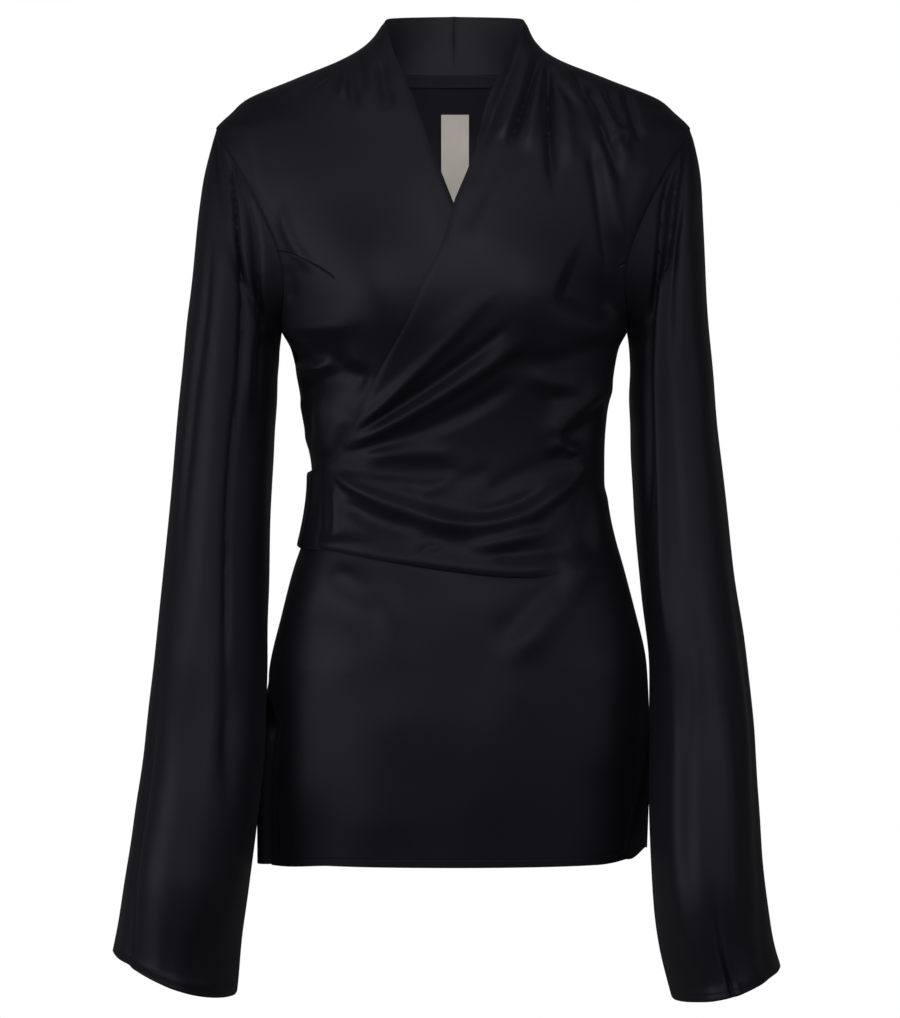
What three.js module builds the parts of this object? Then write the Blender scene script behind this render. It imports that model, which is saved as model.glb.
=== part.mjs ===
// A wrap top of heavy satin, standing open as it is worn, with no figure inside.
// Sizes are in millimetres. +Z is up, the front faces -Y, and the viewer's right is +X.
// The origin lies between the shoulders at the base of the neck, where the wearer holds it up.
import * as THREE from "three";

const WALL = 1.2;
const SEAM = 0.4;
const LAP = 2.4;
const ROUNDNESS = 2.3;
const HEM = -664;
const BACK_HEM = -672;
const NECK_POINT = 12;
const NECK_DIP = 9;
const COLLAR_FRONT = 38;
const COLLAR_BACK = 53.5;
const SLASH_END = 93;
const SLASH_UNDERLAP = 12;
const EDGE_ROLL = 2.6;

// Level sections of the body: half widths to each side, depth to the front and to the back.
const SECTIONS = [
  { z: -664, left: 165, right: 163, front: 104, back: 108 },
  { z: -604, left: 166, right: 165, front: 107, back: 112 },
  { z: -554, left: 161, right: 165, front: 108, back: 112 },
  { z: -500, left: 155, right: 162, front: 106, back: 107 },
  { z: -462, left: 146, right: 154, front: 103, back: 100 },
  { z: -423, left: 136, right: 144, front: 98, back: 91 },
  { z: -395, left: 127, right: 136, front: 94, back: 85 },
  { z: -361, left: 121, right: 128, front: 91, back: 80 },
  { z: -335, left: 120.5, right: 127, front: 90, back: 79 },
  { z: -304, left: 126, right: 128, front: 93, back: 82 },
  { z: -270, left: 131, right: 133, front: 98, back: 88 },
  { z: -236, left: 138, right: 139, front: 103, back: 95 },
  { z: -220, left: 146.5, right: 147, front: 105, back: 98 },
  { z: -190, left: 157, right: 157, front: 107, back: 101 },
  { z: -156, left: 174, right: 173, front: 106, back: 103 },
  { z: -127, left: 190, right: 188, front: 101, back: 101 },
  { z: -100, left: 201, right: 199, front: 94, back: 97 },
  { z: -76, left: 205, right: 203, front: 86, back: 91 },
  { z: -60, left: 204, right: 202.5, front: 80, back: 86 },
  { z: -50, left: 201, right: 199.5, front: 76, back: 83 },
  { z: -38, left: 189, right: 187, front: 71, back: 78 },
  { z: -25, left: 174, right: 171, front: 65, back: 72 },
  { z: -9, left: 136, right: 131, front: 58, back: 65 },
  { z: 7, left: 97, right: 90, front: 50, back: 60 },
  { z: 21, left: 74, right: 71, front: 44, back: 61 },
  { z: 38, left: 61, right: 62, front: 40, back: 63 },
  { z: 55, left: 58, right: 59, front: 38, back: 65 },
];

// Fullness that the bust darts give the fronts.
const CUP = { x: 70, z: -200, wide: 52, high: 58, depth: 19 };

// The armhole turns in from the side by an angle that is greatest at half its height.
const ARMHOLE = { top: -50, bottom: -220, front: 36, back: 33, power: 2.2 };

// Where the front panels stop short of the side below the side seams.
const VENTS = {
  left: { top: -504, open: 24, run: 50 },
  right: { top: -520, open: 31, run: 150 },
};

// Free edge of the over front, from its joint with the sash up to the collar.
const WRAP_EDGE = [
  { z: -440, x: -110 },
  { z: -355, x: -110 },
  { z: -343, x: -109 },
  { z: -336, x: -104.5 },
  { z: -327, x: -95 },
  { z: -308, x: -86.5 },
  { z: -280, x: -71.5 },
  { z: -257, x: -60.5 },
  { z: -217, x: -38 },
  { z: -177, x: -19.5 },
  { z: -152, x: -9 },
  { z: -119, x: 0 },
  { z: -95, x: 10 },
  { z: -70, x: 19 },
  { z: -33, x: 27 },
  { z: -17, x: 34 },
  { z: -3, x: 42 },
  { z: 13, x: 52 },
  { z: 38, x: 60 },
];

// Free edge of the under front, from the far side of the waist up to the collar.
const UNDER_EDGE = [
  { z: -440, x: 128 },
  { z: -345, x: 122 },
  { z: -325, x: 106 },
  { z: -281, x: 75 },
  { z: -228, x: 46 },
  { z: -170, x: 20 },
  { z: -116, x: -2 },
  { z: -93, x: -11 },
  { z: -70, x: -20 },
  { z: -33, x: -32.5 },
  { z: -8, x: -42.5 },
  { z: 9, x: -50 },
  { z: 38, x: -59 },
];

// Lower edge of the wrapped part, from the left side to the right side.
const LOWER_EDGE = [
  { x: -140, z: -401 },
  { x: -111, z: -405 },
  { x: -71, z: -412 },
  { x: -6, z: -422 },
  { x: 48, z: -427 },
  { x: 93, z: -423 },
  { x: 145, z: -416 },
];

// Ridges of the over front and its skirt: from and to, sag of the middle, half width, height.
const FRONT_FOLDS = [
  { x0: -86, z0: -312, x1: 35, z1: -190, sag: -6, wide: 8, high: 4.5 },
  { x0: -88, z0: -320, x1: 62, z1: -228, sag: -4, wide: 9, high: 6 },
  { x0: -90, z0: -328, x1: 128, z1: -246, sag: -10, wide: 9, high: 5.5 },
  { x0: -70, z0: -338, x1: 80, z1: -318, sag: -10, wide: 8, high: 4.5 },
  { x0: 122, z0: -276, x1: 60, z1: -322, sag: 5, wide: 9, high: 6 },
  { x0: 104, z0: -322, x1: 18, z1: -366, sag: -8, wide: 9, high: 5.5 },
  { x0: -98, z0: -345, x1: 98, z1: -352, sag: -36, wide: 10, high: 6 },
  { x0: 0, z0: -398, x1: 112, z1: -364, sag: -9, wide: 9, high: 5 },
  { x0: -96, z0: -362, x1: 20, z1: -404, sag: -6, wide: 8, high: 3.5 },
  { x0: 119, z0: -358, x1: 113, z1: -414, sag: 0, wide: 8, high: 4 },
  { x0: 76, z0: -8, x1: 47, z1: -62, sag: 4, wide: 7, high: 4 },
  { x0: 84, z0: -30, x1: 80, z1: -92, sag: 0, wide: 8, high: 4 },
  { x0: 100, z0: -16, x1: 133, z1: -84, sag: 5, wide: 8, high: 5 },
  { x0: 116, z0: -66, x1: 134, z1: -158, sag: -3, wide: 8, high: 5 },
  { x0: 60, z0: -24, x1: 34, z1: -112, sag: 5, wide: 8, high: 3 },
  { x0: 108, z0: -416, x1: 50, z1: -490, sag: -4, wide: 11, high: 6 },
  { x0: -95, z0: -425, x1: -44, z1: -468, sag: 4, wide: 13, high: 3 },
];

// Ridges of the under front at its visible side.
const UNDER_FOLDS = [
  { x0: -132, z0: -222, x1: -78, z1: -222, sag: 5, wide: 8, high: 3.5 },
  { x0: -128, z0: -252, x1: -72, z1: -250, sag: -6, wide: 8, high: 3 },
  { x0: -142, z0: -150, x1: -112, z1: -182, sag: 3, wide: 7, high: 3 },
  { x0: -98, z0: -8, x1: -104, z1: -42, sag: 0, wide: 7, high: 2.5 },
  { x0: -76, z0: 0, x1: -78, z1: -40, sag: 0, wide: 7, high: 2 },
];

// Upright ridges of the sash: angle round the body, half width and height.
const SASH_FOLDS = [
  { angle: -69, wide: 2.2, high: 2.6 },
  { angle: -77, wide: 2.6, high: 2 },
  { angle: -90, wide: 4, high: 1.6 },
  { angle: -118, wide: 6, high: 2.2 },
  { angle: -146, wide: 7, high: 1.8 },
];

// Slanting sections of each sleeve: outer and inner point, middle depth, half depth.
const LEFT_SLEEVE = [
  { ox: -209, oz: -82, ix: -147.5, iz: -238, y: -1, d: 57 },
  { ox: -215, oz: -118, ix: -149, iz: -258, y: -2, d: 60 },
  { ox: -222, oz: -185, ix: -151, iz: -292, y: -4, d: 62 },
  { ox: -228, oz: -240, ix: -153, iz: -328, y: -5, d: 62 },
  { ox: -235, oz: -318, ix: -155, iz: -375, y: -8, d: 62 },
  { ox: -243, oz: -412, ix: -156, iz: -440, y: -14, d: 64 },
  { ox: -249, oz: -480, ix: -156.5, iz: -495, y: -26, d: 66 },
  { ox: -255, oz: -545, ix: -157, iz: -550, y: -42, d: 70 },
  { ox: -262, oz: -606, ix: -161, iz: -610, y: -51, d: 75 },
  { ox: -270, oz: -660, ix: -169, iz: -675, y: -56, d: 79 },
  { ox: -278, oz: -710, ix: -176, iz: -728, y: -58, d: 83 },
  { ox: -283, oz: -738, ix: -180, iz: -773, y: -60, d: 86 },
];

const RIGHT_SLEEVE = [
  { ox: 207, oz: -82, ix: 148, iz: -238, y: -1, d: 57 },
  { ox: 210, oz: -125, ix: 148.5, iz: -260, y: -2, d: 60 },
  { ox: 213, oz: -190, ix: 149.5, iz: -294, y: -4, d: 62 },
  { ox: 218, oz: -255, ix: 151, iz: -332, y: -5, d: 62 },
  { ox: 224, oz: -320, ix: 153.5, iz: -378, y: -8, d: 62 },
  { ox: 234, oz: -415, ix: 158, iz: -440, y: -14, d: 64 },
  { ox: 243, oz: -482, ix: 164, iz: -495, y: -28, d: 66 },
  { ox: 249, oz: -545, ix: 164.5, iz: -550, y: -44, d: 70 },
  { ox: 252, oz: -606, ix: 163, iz: -610, y: -53, d: 75 },
  { ox: 256, oz: -665, ix: 164, iz: -680, y: -57, d: 79 },
  { ox: 262, oz: -715, ix: 170, iz: -735, y: -59, d: 83 },
  { ox: 271, oz: -751, ix: 181, iz: -777, y: -60, d: 86 },
];

// Long ridges of a sleeve: angle at the top and at the end, run along it, half width, height.
const LEFT_SLEEVE_FOLDS = [
  { a0: 112, a1: 96, from: 0.06, to: 0.66, wide: 13, high: 5 },
  { a0: 52, a1: 44, from: 0.1, to: 0.8, wide: 15, high: 4 },
  { a0: 150, a1: 132, from: 0.2, to: 0.9, wide: 14, high: 3.5 },
  { a0: 80, a1: 72, from: 0.6, to: 1.0, wide: 14, high: 5 },
  { a0: 236, a1: 250, from: 0.15, to: 0.85, wide: 16, high: 4.5 },
  { a0: 292, a1: 300, from: 0.3, to: 1.0, wide: 15, high: 4 },
];

const RIGHT_SLEEVE_FOLDS = [
  { a0: 140, a1: 126, from: 0.05, to: 0.6, wide: 13, high: 5 },
  { a0: 84, a1: 92, from: 0.12, to: 0.7, wide: 15, high: 4 },
  { a0: 40, a1: 52, from: 0.3, to: 0.95, wide: 15, high: 4 },
  { a0: 112, a1: 106, from: 0.55, to: 1.0, wide: 14, high: 5.5 },
  { a0: 244, a1: 232, from: 0.2, to: 0.9, wide: 16, high: 4.5 },
  { a0: 306, a1: 294, from: 0.1, to: 0.8, wide: 15, high: 4 },
];

const LABEL = { left: -11, right: 13, top: -29, bottom: -104, wall: 1 };
const TAPE = { from: 122, to: 238, wide: 9, wall: 1 };

const radians = THREE.MathUtils.degToRad;
const lerp = THREE.MathUtils.lerp;

function ease(value) {
  return THREE.MathUtils.smoothstep(value, 0, 1);
}

function bell(value) {
  return Math.exp(-value * value);
}

// The value of one column of a table at a place between its rows, on a smooth curve through them.
function along(table, key, column, at) {
  let i = 0;
  while (i < table.length - 2 && at > table[i + 1][key]) {
    i += 1;
  }
  const slope = (k) => {
    const low = table[Math.max(k - 1, 0)];
    const high = table[Math.min(k + 1, table.length - 1)];
    return (high[column] - low[column]) / (high[key] - low[key]);
  };
  const span = table[i + 1][key] - table[i][key];
  const t = THREE.MathUtils.clamp((at - table[i][key]) / span, 0, 1);
  const start = table[i][column];
  const end = table[i + 1][column];
  const square = t * t;
  const cube = square * t;
  return (2 * cube - 3 * square + 1) * start + (cube - 2 * square + t) * span * slope(i)
    + (3 * square - 2 * cube) * end + (cube - square) * span * slope(i + 1);
}

// The same on straight lines between the rows, for edges that must keep their corners.
function straight(table, key, column, at) {
  let i = 0;
  while (i < table.length - 2 && at > table[i + 1][key]) {
    i += 1;
  }
  const t = (at - table[i][key]) / (table[i + 1][key] - table[i][key]);
  return lerp(table[i][column], table[i + 1][column], THREE.MathUtils.clamp(t, 0, 1));
}

// A point of the body at an angle round it (0 in front, 90 on the right side) and a height.
function form(angle, z) {
  const sine = Math.sin(radians(angle));
  const cosine = Math.cos(radians(angle));
  const power = Math.abs(sine) ** ROUNDNESS + Math.abs(cosine) ** ROUNDNESS;
  const reach = 1 / power ** (1 / ROUNDNESS);
  const x = sine * reach * along(SECTIONS, "z", sine > 0 ? "right" : "left", z);
  let y = -cosine * reach * along(SECTIONS, "z", cosine > 0 ? "front" : "back", z);
  if (cosine > 0) {
    const rise = bell((z - CUP.z) / CUP.high) * cosine * reach * CUP.depth;
    y -= rise * (bell((x - CUP.x) / CUP.wide) + bell((x + CUP.x) / CUP.wide));
  }
  return new THREE.Vector3(x, y, z);
}

// The outward direction of a surface given as a function of two numbers.
function outward(surface, a, b, stepA, stepB) {
  const across = surface(a + stepA, b).sub(surface(a - stepA, b));
  const up = surface(a, b + stepB).sub(surface(a, b - stepB));
  return across.cross(up).normalize();
}

function offBody(angle, z, distance) {
  return form(angle, z).addScaledVector(outward(form, angle, z, 0.1, 0.3), distance);
}

// The angle at which the body reaches a given x at a given height.
function angleAt(x, z) {
  const half = along(SECTIONS, "z", x > 0 ? "right" : "left", z);
  const share = Math.min(Math.abs(x) / half, 0.999);
  const rest = (1 - share ** ROUNDNESS) ** (1 / ROUNDNESS);
  return Math.sign(x) * THREE.MathUtils.radToDeg(Math.atan2(share, rest));
}

function ridge(fold, x, z) {
  const dx = fold.x1 - fold.x0;
  const dz = fold.z1 - fold.z0;
  const length = Math.hypot(dx, dz);
  const t = ((x - fold.x0) * dx + (z - fold.z0) * dz) / (length * length);
  const arc = 4 * fold.sag * Math.max(0, t * (1 - t));
  const side = ((z - fold.z0) * Math.abs(dx) - (x - fold.x0) * dz * Math.sign(dx || 1)) / length;
  const taper = ease((t + 0.12) / 0.3) * ease((1.12 - t) / 0.3);
  return fold.high * taper * bell((side - arc) / fold.wide);
}

function ridges(folds, x, z) {
  return folds.reduce((sum, fold) => sum + ridge(fold, x, z), 0);
}

// Half of the seam gap, as an angle at a given height.
function seamAngle(z, column) {
  return THREE.MathUtils.radToDeg(SEAM / 2 / along(SECTIONS, "z", column, z));
}

// The angle of the armhole or the side, measured from the middle of the front or back.
function sideAngle(z, column) {
  const middle = (ARMHOLE.top + ARMHOLE.bottom) / 2;
  const half = (ARMHOLE.top - ARMHOLE.bottom) / 2;
  const share = Math.min(1, Math.abs((z - middle) / half));
  const turn = ARMHOLE[column] * (1 - share ** ARMHOLE.power) ** (1 / ARMHOLE.power);
  return 90 - Math.max(turn, seamAngle(z, column));
}

// The angle where a front panel ends: the side seam, the armhole or the open vent.
function frontLimit(z, vent) {
  const share = THREE.MathUtils.clamp((vent.top - z) / vent.run, 0, 1);
  return sideAngle(z, "front") - vent.open * Math.sin(share * Math.PI / 2);
}

function lapShare(x) {
  return ease((x + 70) / 130);
}

function lowerEdge(x) {
  return along(LOWER_EDGE, "x", "z", x);
}

function neckLine(angle) {
  return NECK_POINT - NECK_DIP * Math.sin(radians(Math.abs(angle) - 90));
}

function collarTop(angle) {
  const past = Math.max(0, Math.abs(angle) - 90);
  const share = Math.sin(radians(past)) ** 0.6 * ease((past + 4) / 22);
  return lerp(COLLAR_FRONT, COLLAR_BACK, share);
}

// The over front: it rises over the under front towards its free edge and rolls at its lower edge.
function overFront(angle, z) {
  const x = form(angle, z).x;
  const inside = ease((frontLimit(z, VENTS.right) - angle) / 9) * ease((angle + 66) / 5);
  const end = ease((SLASH_END - x) / 28) * ease((x + 112) / 20);
  const roll = EDGE_ROLL * end * bell((z - lowerEdge(x)) / 12);
  return offBody(angle, z, LAP * (1 - lapShare(x)) + roll + inside * ridges(FRONT_FOLDS, x, z));
}

function underFront(angle, z) {
  const x = form(angle, z).x;
  const inside = ease((angle + frontLimit(z, VENTS.left)) / 7);
  return offBody(angle, z, inside * ridges(UNDER_FOLDS, x, z) - LAP * lapShare(x));
}

// The skirt: its hidden top lies level with the under front that it is sewn to.
function skirt(angle, z) {
  const x = form(angle, z).x;
  const edge = lowerEdge(x);
  const shown = ease((edge - 4 - z) / 20);
  const tuck = LAP * lapShare(x) * ease((SLASH_END - x) / 20) * ease((z - edge + 8) / 16);
  const limit = frontLimit(z, angle > 0 ? VENTS.right : VENTS.left);
  const inside = ease((limit - Math.abs(angle)) / 7);
  return offBody(angle, z, shown * inside * ridges(FRONT_FOLDS, x, z) - tuck);
}

function sashSurface(angle, z) {
  const sum = SASH_FOLDS.reduce(
    (total, fold) => total + fold.high * bell((angle - fold.angle) / fold.wide), 0);
  return offBody(angle, z, LAP + sum * ease((-65 - angle) / 3));
}

// A grid of points with their outward directions. place gives two numbers for a column and row.
function grid(surface, columns, rows, place, stepA = 0.1, stepB = 0.3) {
  return Array.from({ length: rows }, (_, j) => Array.from({ length: columns }, (_, i) => {
    const [a, b] = place(i, j);
    return { point: surface(a, b), out: outward(surface, a, b, stepA, stepB) };
  }));
}

// One closed solid from grids that share points along their common edges.
function cloth(name, grids, wall, colour) {
  const points = [];
  const ways = [];
  const found = new Map();
  const corners = [];
  for (const rows of grids) {
    const ids = rows.map((row) => row.map(({ point, out }) => {
      const key = point.toArray().map((value) => value.toFixed(3)).join();
      if (!found.has(key)) {
        found.set(key, points.length);
        points.push(point);
        ways.push(new THREE.Vector3());
      }
      ways[found.get(key)].add(out);
      return found.get(key);
    }));
    for (let j = 0; j < ids.length - 1; j += 1) {
      for (let i = 0; i < ids[j].length - 1; i += 1) {
        const [a, b, c, d] = [ids[j][i], ids[j][i + 1], ids[j + 1][i + 1], ids[j + 1][i]];
        corners.push([a, b, c], [a, c, d]);
      }
    }
  }
  const faces = corners.filter(([a, b, c]) => a !== b && b !== c && c !== a);
  const inner = points.map((point, k) => point.clone().addScaledVector(ways[k].normalize(), -wall));
  const edges = new Set(faces.flatMap(([a, b, c]) => [`${a},${b}`, `${b},${c}`, `${c},${a}`]));
  const shift = points.length;
  const solid = faces.flatMap(([a, b, c]) => [[a, b, c], [c + shift, b + shift, a + shift]]);
  for (const edge of edges) {
    const [a, b] = edge.split(",").map(Number);
    if (!edges.has(`${b},${a}`)) {
      solid.push([b, a, a + shift], [b, a + shift, b + shift]);
    }
  }
  const geometry = new THREE.BufferGeometry();
  const flat = [...points, ...inner].flatMap((point) => point.toArray());
  geometry.setAttribute("position", new THREE.Float32BufferAttribute(flat, 3));
  geometry.setIndex(solid.flat());
  geometry.computeVertexNormals();
  const material = new THREE.MeshStandardMaterial({ color: colour, roughness: 0.42, metalness: 0 });
  const mesh = new THREE.Mesh(geometry, material);
  mesh.name = name;
  return mesh;
}

// The collar half that is cut on to a front: it runs from the side of the neck to the back seam.
function collarHalf(surface, side, levels, columns) {
  const end = 180 - seamAngle(30, "back");
  return grid(surface, columns, levels.length, (i, j) => {
    const column = side > 0 ? i : columns - 1 - i;
    const start = sideAngle(levels[j], "front");
    const angle = column === 0 ? start : lerp(start, end, column / (columns - 1));
    const share = (levels[j] - levels[0]) / (COLLAR_FRONT - levels[0]);
    const low = neckLine(Math.max(angle, 90)) + (levels[0] - NECK_POINT);
    return [side * angle, column === 0 ? levels[j] : lerp(low, collarTop(angle), share)];
  });
}

const COLLAR_LEVELS = [NECK_POINT + SEAM, 21, 30, COLLAR_FRONT];
const ARMHOLE_LEVELS = [-220, -216, -206, -190, -170, -146, -120, -96, -76, -61, -53, -50];
const SHOULDER_LEVELS = [-42, -32, -22, -12, 0];

function overFrontPanel() {
  const leftColumns = 15;
  const rightColumns = 6;
  const base = -417;
  const endAngle = angleAt(SLASH_END, lowerEdge(SLASH_END));
  const startX = WRAP_EDGE[0].x;
  const startAngle = angleAt(startX, lowerEdge(startX));
  const lastZ = LOWER_EDGE.at(-1).z;
  const lastAngle = frontLimit(lastZ, VENTS.right);
  const bottom = Array.from({ length: leftColumns + rightColumns + 1 }, (_, i) => {
    if (i <= leftColumns) {
      return lerp(startAngle, endAngle, i / leftColumns);
    }
    return lerp(endAngle, lastAngle, (i - leftColumns) / rightColumns);
  });
  const edges = bottom.map((angle) => lowerEdge(form(angle, base).x));
  const shares = bottom.map((angle) => (angle - bottom[0]) / (bottom.at(-1) - bottom[0]));
  const waist = [base, -402, -388, -374, -360, -348, -340, -334, -326, -314, -298, -280, -260, -240];
  const levels = [...waist, ...ARMHOLE_LEVELS, ...SHOULDER_LEVELS, ...COLLAR_LEVELS];
  const upper = grid(overFront, bottom.length, levels.length, (i, j) => {
    const fade = 1 - ease((levels[j] - base) / 80);
    const z = levels[j] + (edges[i] - base) * fade;
    const start = angleAt(straight(WRAP_EDGE, "z", "x", z), z);
    return [lerp(start, frontLimit(z, VENTS.right), shares[i]), z];
  });

  const skirtColumns = 21;
  const far = -frontLimit(-400, VENTS.left);
  const tops = Array.from({ length: skirtColumns - rightColumns }, (_, i) =>
    lerp(far, endAngle, i / (skirtColumns - rightColumns)));
  const heights = [HEM, -640, -610, -580, -550, -530, -515, -500, -480, -462, -446, -434, -427, -415];
  const last = heights.length - 1;
  const all = [...tops, ...bottom.slice(leftColumns)];
  const shareAcross = all.map((angle) => (angle - all[0]) / (all.at(-1) - all[0]));
  const lower = grid(skirt, all.length, heights.length, (i, j) => {
    const x = form(all[i], -420).x;
    const lip = ease((SLASH_END - 8 - x) / 26) * (SLASH_UNDERLAP + 2) - 2;
    const edge = lowerEdge(x);
    const shift = edge - lowerEdge(48);
    let z = heights[j] + shift * ease((heights[j] + 500) / 70);
    if (j === last) {
      z = edge + lip;
    }
    const left = -frontLimit(z, VENTS.left);
    const right = frontLimit(z, VENTS.right);
    return [lerp(left, right, shareAcross[i]), z];
  });
  for (let i = 0; i <= rightColumns; i += 1) {
    lower[last][tops.length + i] = upper[0][leftColumns + i];
  }
  const collar = collarHalf(overFront, 1, COLLAR_LEVELS, 8);
  return cloth("front_wrap", [upper, lower, collar], WALL, 0x1d1b22);
}

function underFrontPanel() {
  const columns = 17;
  const waist = [-405, -385, -362, -340, -318, -296, -274, -254, -236];
  const levels = [...waist, ...ARMHOLE_LEVELS, ...SHOULDER_LEVELS, ...COLLAR_LEVELS];
  const farAngle = angleAt(UNDER_EDGE[0].x, levels[0]);
  const upper = grid(underFront, columns, levels.length, (i, j) => {
    const share = i / (columns - 1);
    const bottomAngle = lerp(-90, farAngle, share);
    const shift = lowerEdge(form(bottomAngle, -405).x) + SLASH_UNDERLAP + 2 * SEAM - levels[0];
    const z = levels[j] + shift * (1 - ease((levels[j] - levels[0]) / 80));
    const end = angleAt(straight(UNDER_EDGE, "z", "x", z), z);
    return [lerp(-frontLimit(z, VENTS.left), end, share), z];
  });
  const collar = collarHalf(underFront, -1, COLLAR_LEVELS, 8);
  return cloth("front_under", [upper, collar], WALL, 0x1d1b22);
}

function backPanel() {
  const columns = 19;
  const low = [BACK_HEM, -632, -600, -568, -536, -504, -478, -452, -428, -404, -380, -357, -335];
  const waist = [...low, -312, -290, -268, -250, -234];
  const levels = [...waist, ...ARMHOLE_LEVELS, ...SHOULDER_LEVELS, NECK_POINT];
  const body = grid((angle, z) => offBody(angle, z, 0), columns, levels.length, (i, j) => {
    const share = i / (columns - 1);
    const dip = NECK_POINT - neckLine(lerp(90, 270, share) > 180
      ? 360 - lerp(90, 270, share)
      : lerp(90, 270, share));
    const z = levels[j] - dip * ease((levels[j] + 90) / 100);
    const start = 180 - sideAngle(z, "back");
    return [lerp(start, 360 - start, share), z];
  });
  return cloth("back", [body], WALL, 0x19171d);
}

function sashPiece() {
  const columns = 19;
  const rows = 6;
  const top = -338;
  const piece = grid(sashSurface, columns, rows, (i, j) => {
    const share = i / (columns - 1);
    const edge = angleAt(WRAP_EDGE[0].x - SEAM, -370);
    const angle = lerp(-188, edge, share);
    const low = lerp(-398, lowerEdge(WRAP_EDGE[0].x), ease((angle + 110) / 40));
    const z = lerp(low, top, j / (rows - 1));
    return [share === 1 ? angleAt(WRAP_EDGE[0].x - SEAM, z) : angle, z];
  });
  return cloth("sash", [piece], WALL, 0x1d1b22);
}

// The angles round a sleeve at which its corners meet those of the panels, over front and back.
const FRONT_TURNS = ARMHOLE_LEVELS.toReversed().map((z) => {
  const middle = (ARMHOLE.top + ARMHOLE.bottom) / 2;
  return THREE.MathUtils.radToDeg(Math.acos((z - middle) / (ARMHOLE.top - middle)));
});
const ARMHOLE_TURNS = [
  ...FRONT_TURNS,
  ...FRONT_TURNS.slice(0, -1).toReversed().map((turn) => 360 - turn),
];

// A point on the armhole at an angle round it: 0 at the shoulder, 90 in front, 180 underneath.
function armholePoint(side, angle) {
  const middle = (ARMHOLE.top + ARMHOLE.bottom) / 2;
  const z = middle + (ARMHOLE.top - middle) * Math.cos(radians(angle));
  const inFront = Math.sin(radians(angle)) >= 0;
  const turn = sideAngle(z, inFront ? "front" : "back");
  const share = Math.min(1, Math.abs((z - middle) / (ARMHOLE.top - middle)));
  const full = share > 0.9999 ? 90 : turn;
  return { angle: side * (inFront ? full : 180 - full), z };
}

// The sleeve starts one seam gap past the armhole and then runs through its sections.
function sleevePiece(name, side, sections, folds) {
  const columns = ARMHOLE_TURNS.length;
  const count = sections.length;

  const section = (angle, k) => {
    if (k === 0) {
      const place = armholePoint(side, angle);
      const point = form(place.angle, place.z);
      const out = outward(form, place.angle, place.z, 0.1, 0.3);
      const hairpin = ease((1 - Math.cos(radians(angle))) / 2 - 0.1);
      point.x += side * SEAM * 1.6 * (1 - hairpin);
      point.z -= SEAM * (1 - hairpin);
      return point.addScaledVector(out, SEAM * 1.6 * hairpin).setZ(point.z + SEAM * hairpin);
    }
    const row = sections[k - 1];
    const share = (1 + Math.cos(radians(angle))) / 2;
    const depth = Math.sin(radians(angle)) * row.d;
    return new THREE.Vector3(
      lerp(row.ix, row.ox, share), row.y - depth, lerp(row.iz, row.oz, share));
  };

  const tube = (turn, run) => {
    const angle = side > 0 ? -turn : turn;
    const at = THREE.MathUtils.clamp(run * count, 0, count);
    const i = Math.min(count - 1, Math.floor(at));
    const t = at - i;
    const [a, b] = [section(angle, i), section(angle, i + 1)];
    const before = i > 0 ? section(angle, i - 1) : a;
    const after = i + 2 <= count ? section(angle, i + 2) : b;
    const curve = (p, q, r, s) => q + 0.5 * t * (r - p
      + t * (2 * p - 5 * q + 4 * r - s + t * (3 * (q - r) + s - p)));
    return new THREE.Vector3(
      curve(before.x, a.x, b.x, after.x),
      curve(before.y, a.y, b.y, after.y),
      curve(before.z, a.z, b.z, after.z));
  };

  const folded = (turn, run) => {
    const angle = ((((side > 0 ? -turn : turn) % 360) + 360) % 360);
    const clear = ease(run / 0.12);
    const sum = folds.reduce((total, fold) => {
      const middle = lerp(fold.a0, fold.a1, run);
      const apart = Math.abs(((angle - middle + 540) % 360) - 180);
      const taper = ease((run - fold.from + 0.1) / 0.2) * ease((fold.to + 0.1 - run) / 0.2);
      return total + fold.high * taper * bell(apart / fold.wide);
    }, 0);
    const out = outward(tube, turn, run, 0.5, 0.004);
    return tube(turn, run).addScaledVector(out.multiplyScalar(-1), sum * clear);
  };

  const runs = [0, 0.05, 0.1, 0.16, 0.22, 0.28, 0.34, 0.41, 0.48, 0.55, 0.62, 0.69, 0.76, 0.83, 0.9,
    0.95, 1];
  const rows = grid(folded, columns, runs.length, (i, j) =>
    [ARMHOLE_TURNS[i], runs[runs.length - 1 - j]], 0.5, 0.004);
  for (const row of rows) {
    row.forEach((corner) => corner.out.multiplyScalar(-1));
    row[columns - 1] = row[0];
  }
  return cloth(name, [rows], WALL, 0x1d1b22);
}

function neckTape() {
  const columns = 13;
  const inside = (angle, z) => offBody(angle, z, -WALL - SEAM);
  const piece = grid(inside, columns, 2, (i, j) => {
    const angle = lerp(TAPE.from, TAPE.to, i / (columns - 1));
    const top = neckLine(angle > 180 ? 360 - angle : angle) - 1;
    return [angle, j === 0 ? top - TAPE.wide : top];
  });
  return cloth("neck_tape", [piece], TAPE.wall, 0x1a181e);
}

function labelPiece() {
  const columns = 4;
  const rows = 9;
  const inside = (angle, z) => offBody(angle, z, -WALL - SEAM);
  const piece = grid(inside, columns, rows, (i, j) => {
    const z = lerp(LABEL.bottom, LABEL.top, j / (rows - 1));
    const x = lerp(LABEL.right, LABEL.left, i / (columns - 1));
    return [180 - angleAt(x, z), z];
  });
  return cloth("label", [piece], LABEL.wall, 0xb4a08e);
}

const top = new THREE.Group();
top.name = "wrap_top";
top.add(
  backPanel(),
  overFrontPanel(),
  underFrontPanel(),
  sashPiece(),
  sleevePiece("sleeve_left", -1, LEFT_SLEEVE, LEFT_SLEEVE_FOLDS),
  sleevePiece("sleeve_right", 1, RIGHT_SLEEVE, RIGHT_SLEEVE_FOLDS),
  neckTape(),
  labelPiece(),
);

export default top;
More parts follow.
